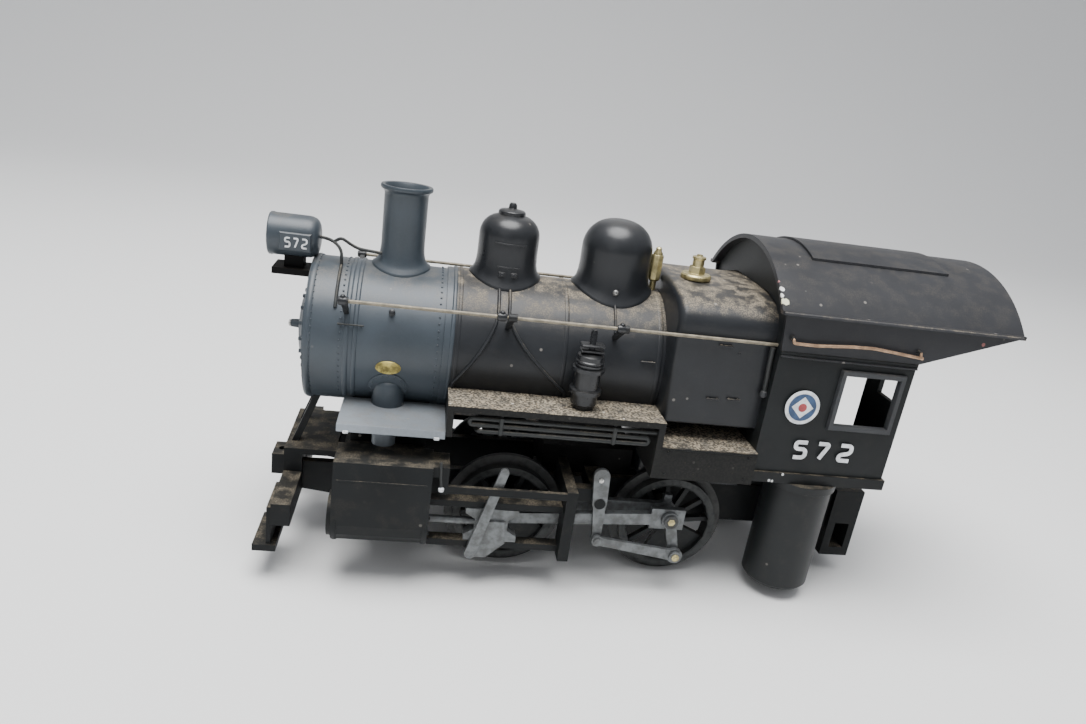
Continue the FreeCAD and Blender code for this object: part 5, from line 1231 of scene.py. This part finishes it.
class ENGINE_OT_gear_trim(bpy.types.Operator):
    """Washers and bolts on the crank pins, links and crossheads"""

    bl_idname = "engine.gear_trim"
    bl_label = "Running gear trim"

    def execute(self, context):
        washer = [(2.9, -0.2), (2.9, 0.1), (2.7, 0.2), (2.1, 0.2), (1.9, 0.08), (1.6, 0.08)]
        screw = [(1.0, -0.2), (1.0, 0.45), (0.8, 0.6)]
        for side, name in SIDES.items():
            x, z = on_wheel(CRANK_R, CRANK_ANGLE[side])
            crank_out = np.abs([corner[1] for corner in span(f"return_crank_{name}")]).max()
            pin_x = x - np.sqrt(MAIN_ROD ** 2 - (z - CYLINDER_Z) ** 2)
            ring = turned(washer, (x, -CRANK_HEAD_Y, z), (0, -1, 0), 36)
            bolt = turned(bolt_profile(1.55, 0.22), (x, -CRANK_HEAD_Y, z), (0, -1, 0), 6)
            piece(f"crank_washer_{name}", ring.on(side), "rod_shadow", "rear_wheelset")
            piece(f"crank_bolt_{name}", bolt.on(side), "brass", "rear_wheelset")
            x, z = on_wheel(ECCENTRIC_R, ECCENTRIC_ANGLE[side])
            end = turned([(1.5, -0.1), (1.5, 0.4), (1.2, 0.6), (0.8, 0.6)], (x, -crank_out, z), (0, -1, 0),
                         28)
            hexagon = turned(bolt_profile(1.0, 1.1), (x, -crank_out, z), (0, -1, 0), 6)
            piece(f"eccentric_bolt_{name}", (end + hexagon).on(side), "brass", "rear_wheelset")
            top = turned(screw, (LINK_X - 1.0, -40.8, 48.2), (0, -1, 0), 18)
            piece(f"link_bolt_{name}", top.on(side), "bright_steel", f"expansion_link_{name}")
            ring = turned([(2.3, -0.3), (2.3, 0.25), (2.0, 0.45), (1.7, 0.45), (1.5, 0.2), (1.3, 0.2)],
                          (pin_x, -44.05, CYLINDER_Z), (0, -1, 0), 32)
            slot_head = turned([(1.2, -0.2), (1.2, 0.45), (1.0, 0.6)], (pin_x, -44.05, CYLINDER_Z),
                               (0, -1, 0), 24)
            piece(f"crosshead_pin_{name}", (ring + slot_head).on(side), "rod_shadow", f"crosshead_{name}")
        return {"FINISHED"}


class ENGINE_OT_board_trim(bpy.types.Operator):
    """Lids and bolts of the long boxes in front of the cab"""

    bl_idname = "engine.board_trim"
    bl_label = "Running board trim"

    def execute(self, context):
        for side, name in SIDES.items():
            bolts = turned(dome_profile(0.55, 0.4), [(12.2, -45.0, 64.2), (44.6, -45.0, 64.2),
                                                     (12.2, -45.0, 55.4),
                                                    (44.6, -45.0, 55.4)], (0, -1, 0), 10)
            lip = block((9.7, -45.35, 65.3), (47.8, -44.6, 66.2), 0.25)
            piece(f"box_lid_lip_{name}", (bolts + lip).on(side), "chassis_black")
        return {"FINISHED"}


# ---------------------------------------------------------------- stage


class ENGINE_OT_stage(bpy.types.Operator):
    """Pale floor that sweeps up far behind the engine, soft studio lights and the camera"""

    bl_idname = "engine.stage"
    bl_label = "Stage"

    def execute(self, context):
        s = context.scene.engine_stage
        x, y = np.meshgrid(np.linspace(-5, 5, 25), np.linspace(-4, 3.4, 75), indexing="ij")
        sweep_start, sweep = 1.0, 0.6
        z = sweep * np.maximum(0, y - sweep_start) ** 2
        index = np.arange(x.size).reshape(x.shape)
        mesh = bpy.data.meshes.new("floor")
        quads = np.stack([index[:-1, :-1], index[1:, :-1], index[1:, 1:], index[:-1, 1:]],
                         axis=-1).reshape(-1, 4)
        mesh.from_pydata(np.stack([x, y, z], axis=-1).reshape(-1, 3).tolist(), [], quads.tolist())
        mesh.shade_smooth()
        floor = bpy.data.objects.new("floor", mesh)
        context.scene.collection.objects.link(floor)
        f = Finish("floor_paper")
        f.done(Base_Color=f.blend(f.noise(400, 2), times(s.floor_colour, 0.98), s.floor_colour),
               Roughness=0.85 + f.noise(60, 2) * 0.05)
        mesh.materials.append(FINISHES["floor_paper"])

        world = bpy.data.worlds.new("studio")
        world.use_nodes = True
        tree = world.node_tree
        tree.nodes.clear()
        way = tree.nodes.new("ShaderNodeTexCoord").outputs["Generated"]
        split, height = tree.nodes.new("ShaderNodeSeparateXYZ"), tree.nodes.new("ShaderNodeMapRange")
        low, high = tree.nodes.new("ShaderNodeBackground"), tree.nodes.new("ShaderNodeBackground")
        mixed, out = tree.nodes.new("ShaderNodeMixShader"), tree.nodes.new("ShaderNodeOutputWorld")
        low.inputs["Color"].default_value = high.inputs["Color"].default_value = (0.93, 0.95, 1.0, 1)
        low.inputs["Strength"].default_value = s.sky_low
        high.inputs["Strength"].default_value = s.sky_high
        for source, target in ((way, split.inputs[0]), (split.outputs["Z"], height.inputs[0]),
                               (height.outputs[0], mixed.inputs[0]), (low.outputs[0], mixed.inputs[1]),
                               (high.outputs[0], mixed.inputs[2]), (mixed.outputs[0], out.inputs[0])):
            tree.links.new(source, target)
        context.scene.world = world

        def soft_light(name, place, aim, size, power):
            data = bpy.data.lights.new(name, "AREA")
            data.shape, data.size, data.energy = "DISK", size, power
            light = bpy.data.objects.new(name, data)
            light.location = place
            light.rotation_mode = "QUATERNION"
            light.rotation_quaternion = (Vector(aim) - Vector(place)).to_track_quat("-Z", "Y")
            context.scene.collection.objects.link(light)

        soft_light("key", (-0.10, -0.15, 1.1), (0, 0, 0.08), 0.9, s.key_power)
        soft_light("fill", (-0.55, -0.9, 0.6), (0, 0, 0.08), 0.7, s.fill_power)
        soft_light("rim", (0.1, 0.8, 0.7), (0, 0, 0.1), 0.7, s.fill_power)

        data = bpy.data.cameras.new("camera")
        data.sensor_width, data.lens = 36.0, s.lens
        data.shift_x, data.shift_y = s.shift
        data.clip_start, data.clip_end = 0.01, 20
        pitch, yaw, roll = s.camera_pitch, s.camera_yaw, s.camera_roll
        ahead = Vector((np.sin(yaw) * np.cos(pitch), np.cos(yaw) * np.cos(pitch), -np.sin(pitch)))
        level = Vector((np.cos(yaw), -np.sin(yaw), 0))
        upright = level.cross(ahead)
        right = level * np.cos(roll) + upright * np.sin(roll)
        up = upright * np.cos(roll) - level * np.sin(roll)
        camera = bpy.data.objects.new("camera", data)
        turn = Matrix((right, up, -ahead)).transposed().to_4x4()
        camera.matrix_world = Matrix.Translation(s.camera_place) @ turn
        context.scene.collection.objects.link(camera)
        context.scene.camera = camera
        return {"FINISHED"}


OPERATORS = (ENGINE_OT_paint_frame, ENGINE_OT_castings, ENGINE_OT_smokebox_trim, ENGINE_OT_door_trim,
             ENGINE_OT_boiler_trim,
             ENGINE_OT_dome_trim, ENGINE_OT_headlight_trim, ENGINE_OT_rail_trim, ENGINE_OT_cooling_pipes,
             ENGINE_OT_cab_trim, ENGINE_OT_roof_trim, ENGINE_OT_cylinder_trim, ENGINE_OT_gear_trim,
             ENGINE_OT_board_trim, ENGINE_OT_stage)


class ENGINE_PT_sidebar(bpy.types.Panel):
    """Lists the engine's pieces in the sidebar"""

    bl_idname = "ENGINE_PT_sidebar"
    bl_label = "Model steam engine"
    bl_space_type = "VIEW_3D"
    bl_region_type = "UI"
    bl_category = "Steam engine"

    def draw(self, context):
        for operator in OPERATORS:
            self.layout.operator(operator.bl_idname)


PROPERTY_GROUPS = {"engine_trim": EngineTrimSizes, "engine_paints": EnginePaints,
                   "engine_stage": EngineStageSettings}
CLASSES = (*PROPERTY_GROUPS.values(), *OPERATORS, ENGINE_PT_sidebar)


def register():
    for cls in CLASSES:
        bpy.utils.register_class(cls)
    for name, group in PROPERTY_GROUPS.items():
        setattr(bpy.types.Scene, name, PointerProperty(type=group))


def unregister():
    for name in PROPERTY_GROUPS:
        delattr(bpy.types.Scene, name)
    for cls in reversed(CLASSES):
        bpy.utils.unregister_class(cls)


def main():
    register()
    for operator in OPERATORS:
        group, name = operator.bl_idname.split(".")
        getattr(getattr(bpy.ops, group), name)()


if __name__ == "__main__":
    main()
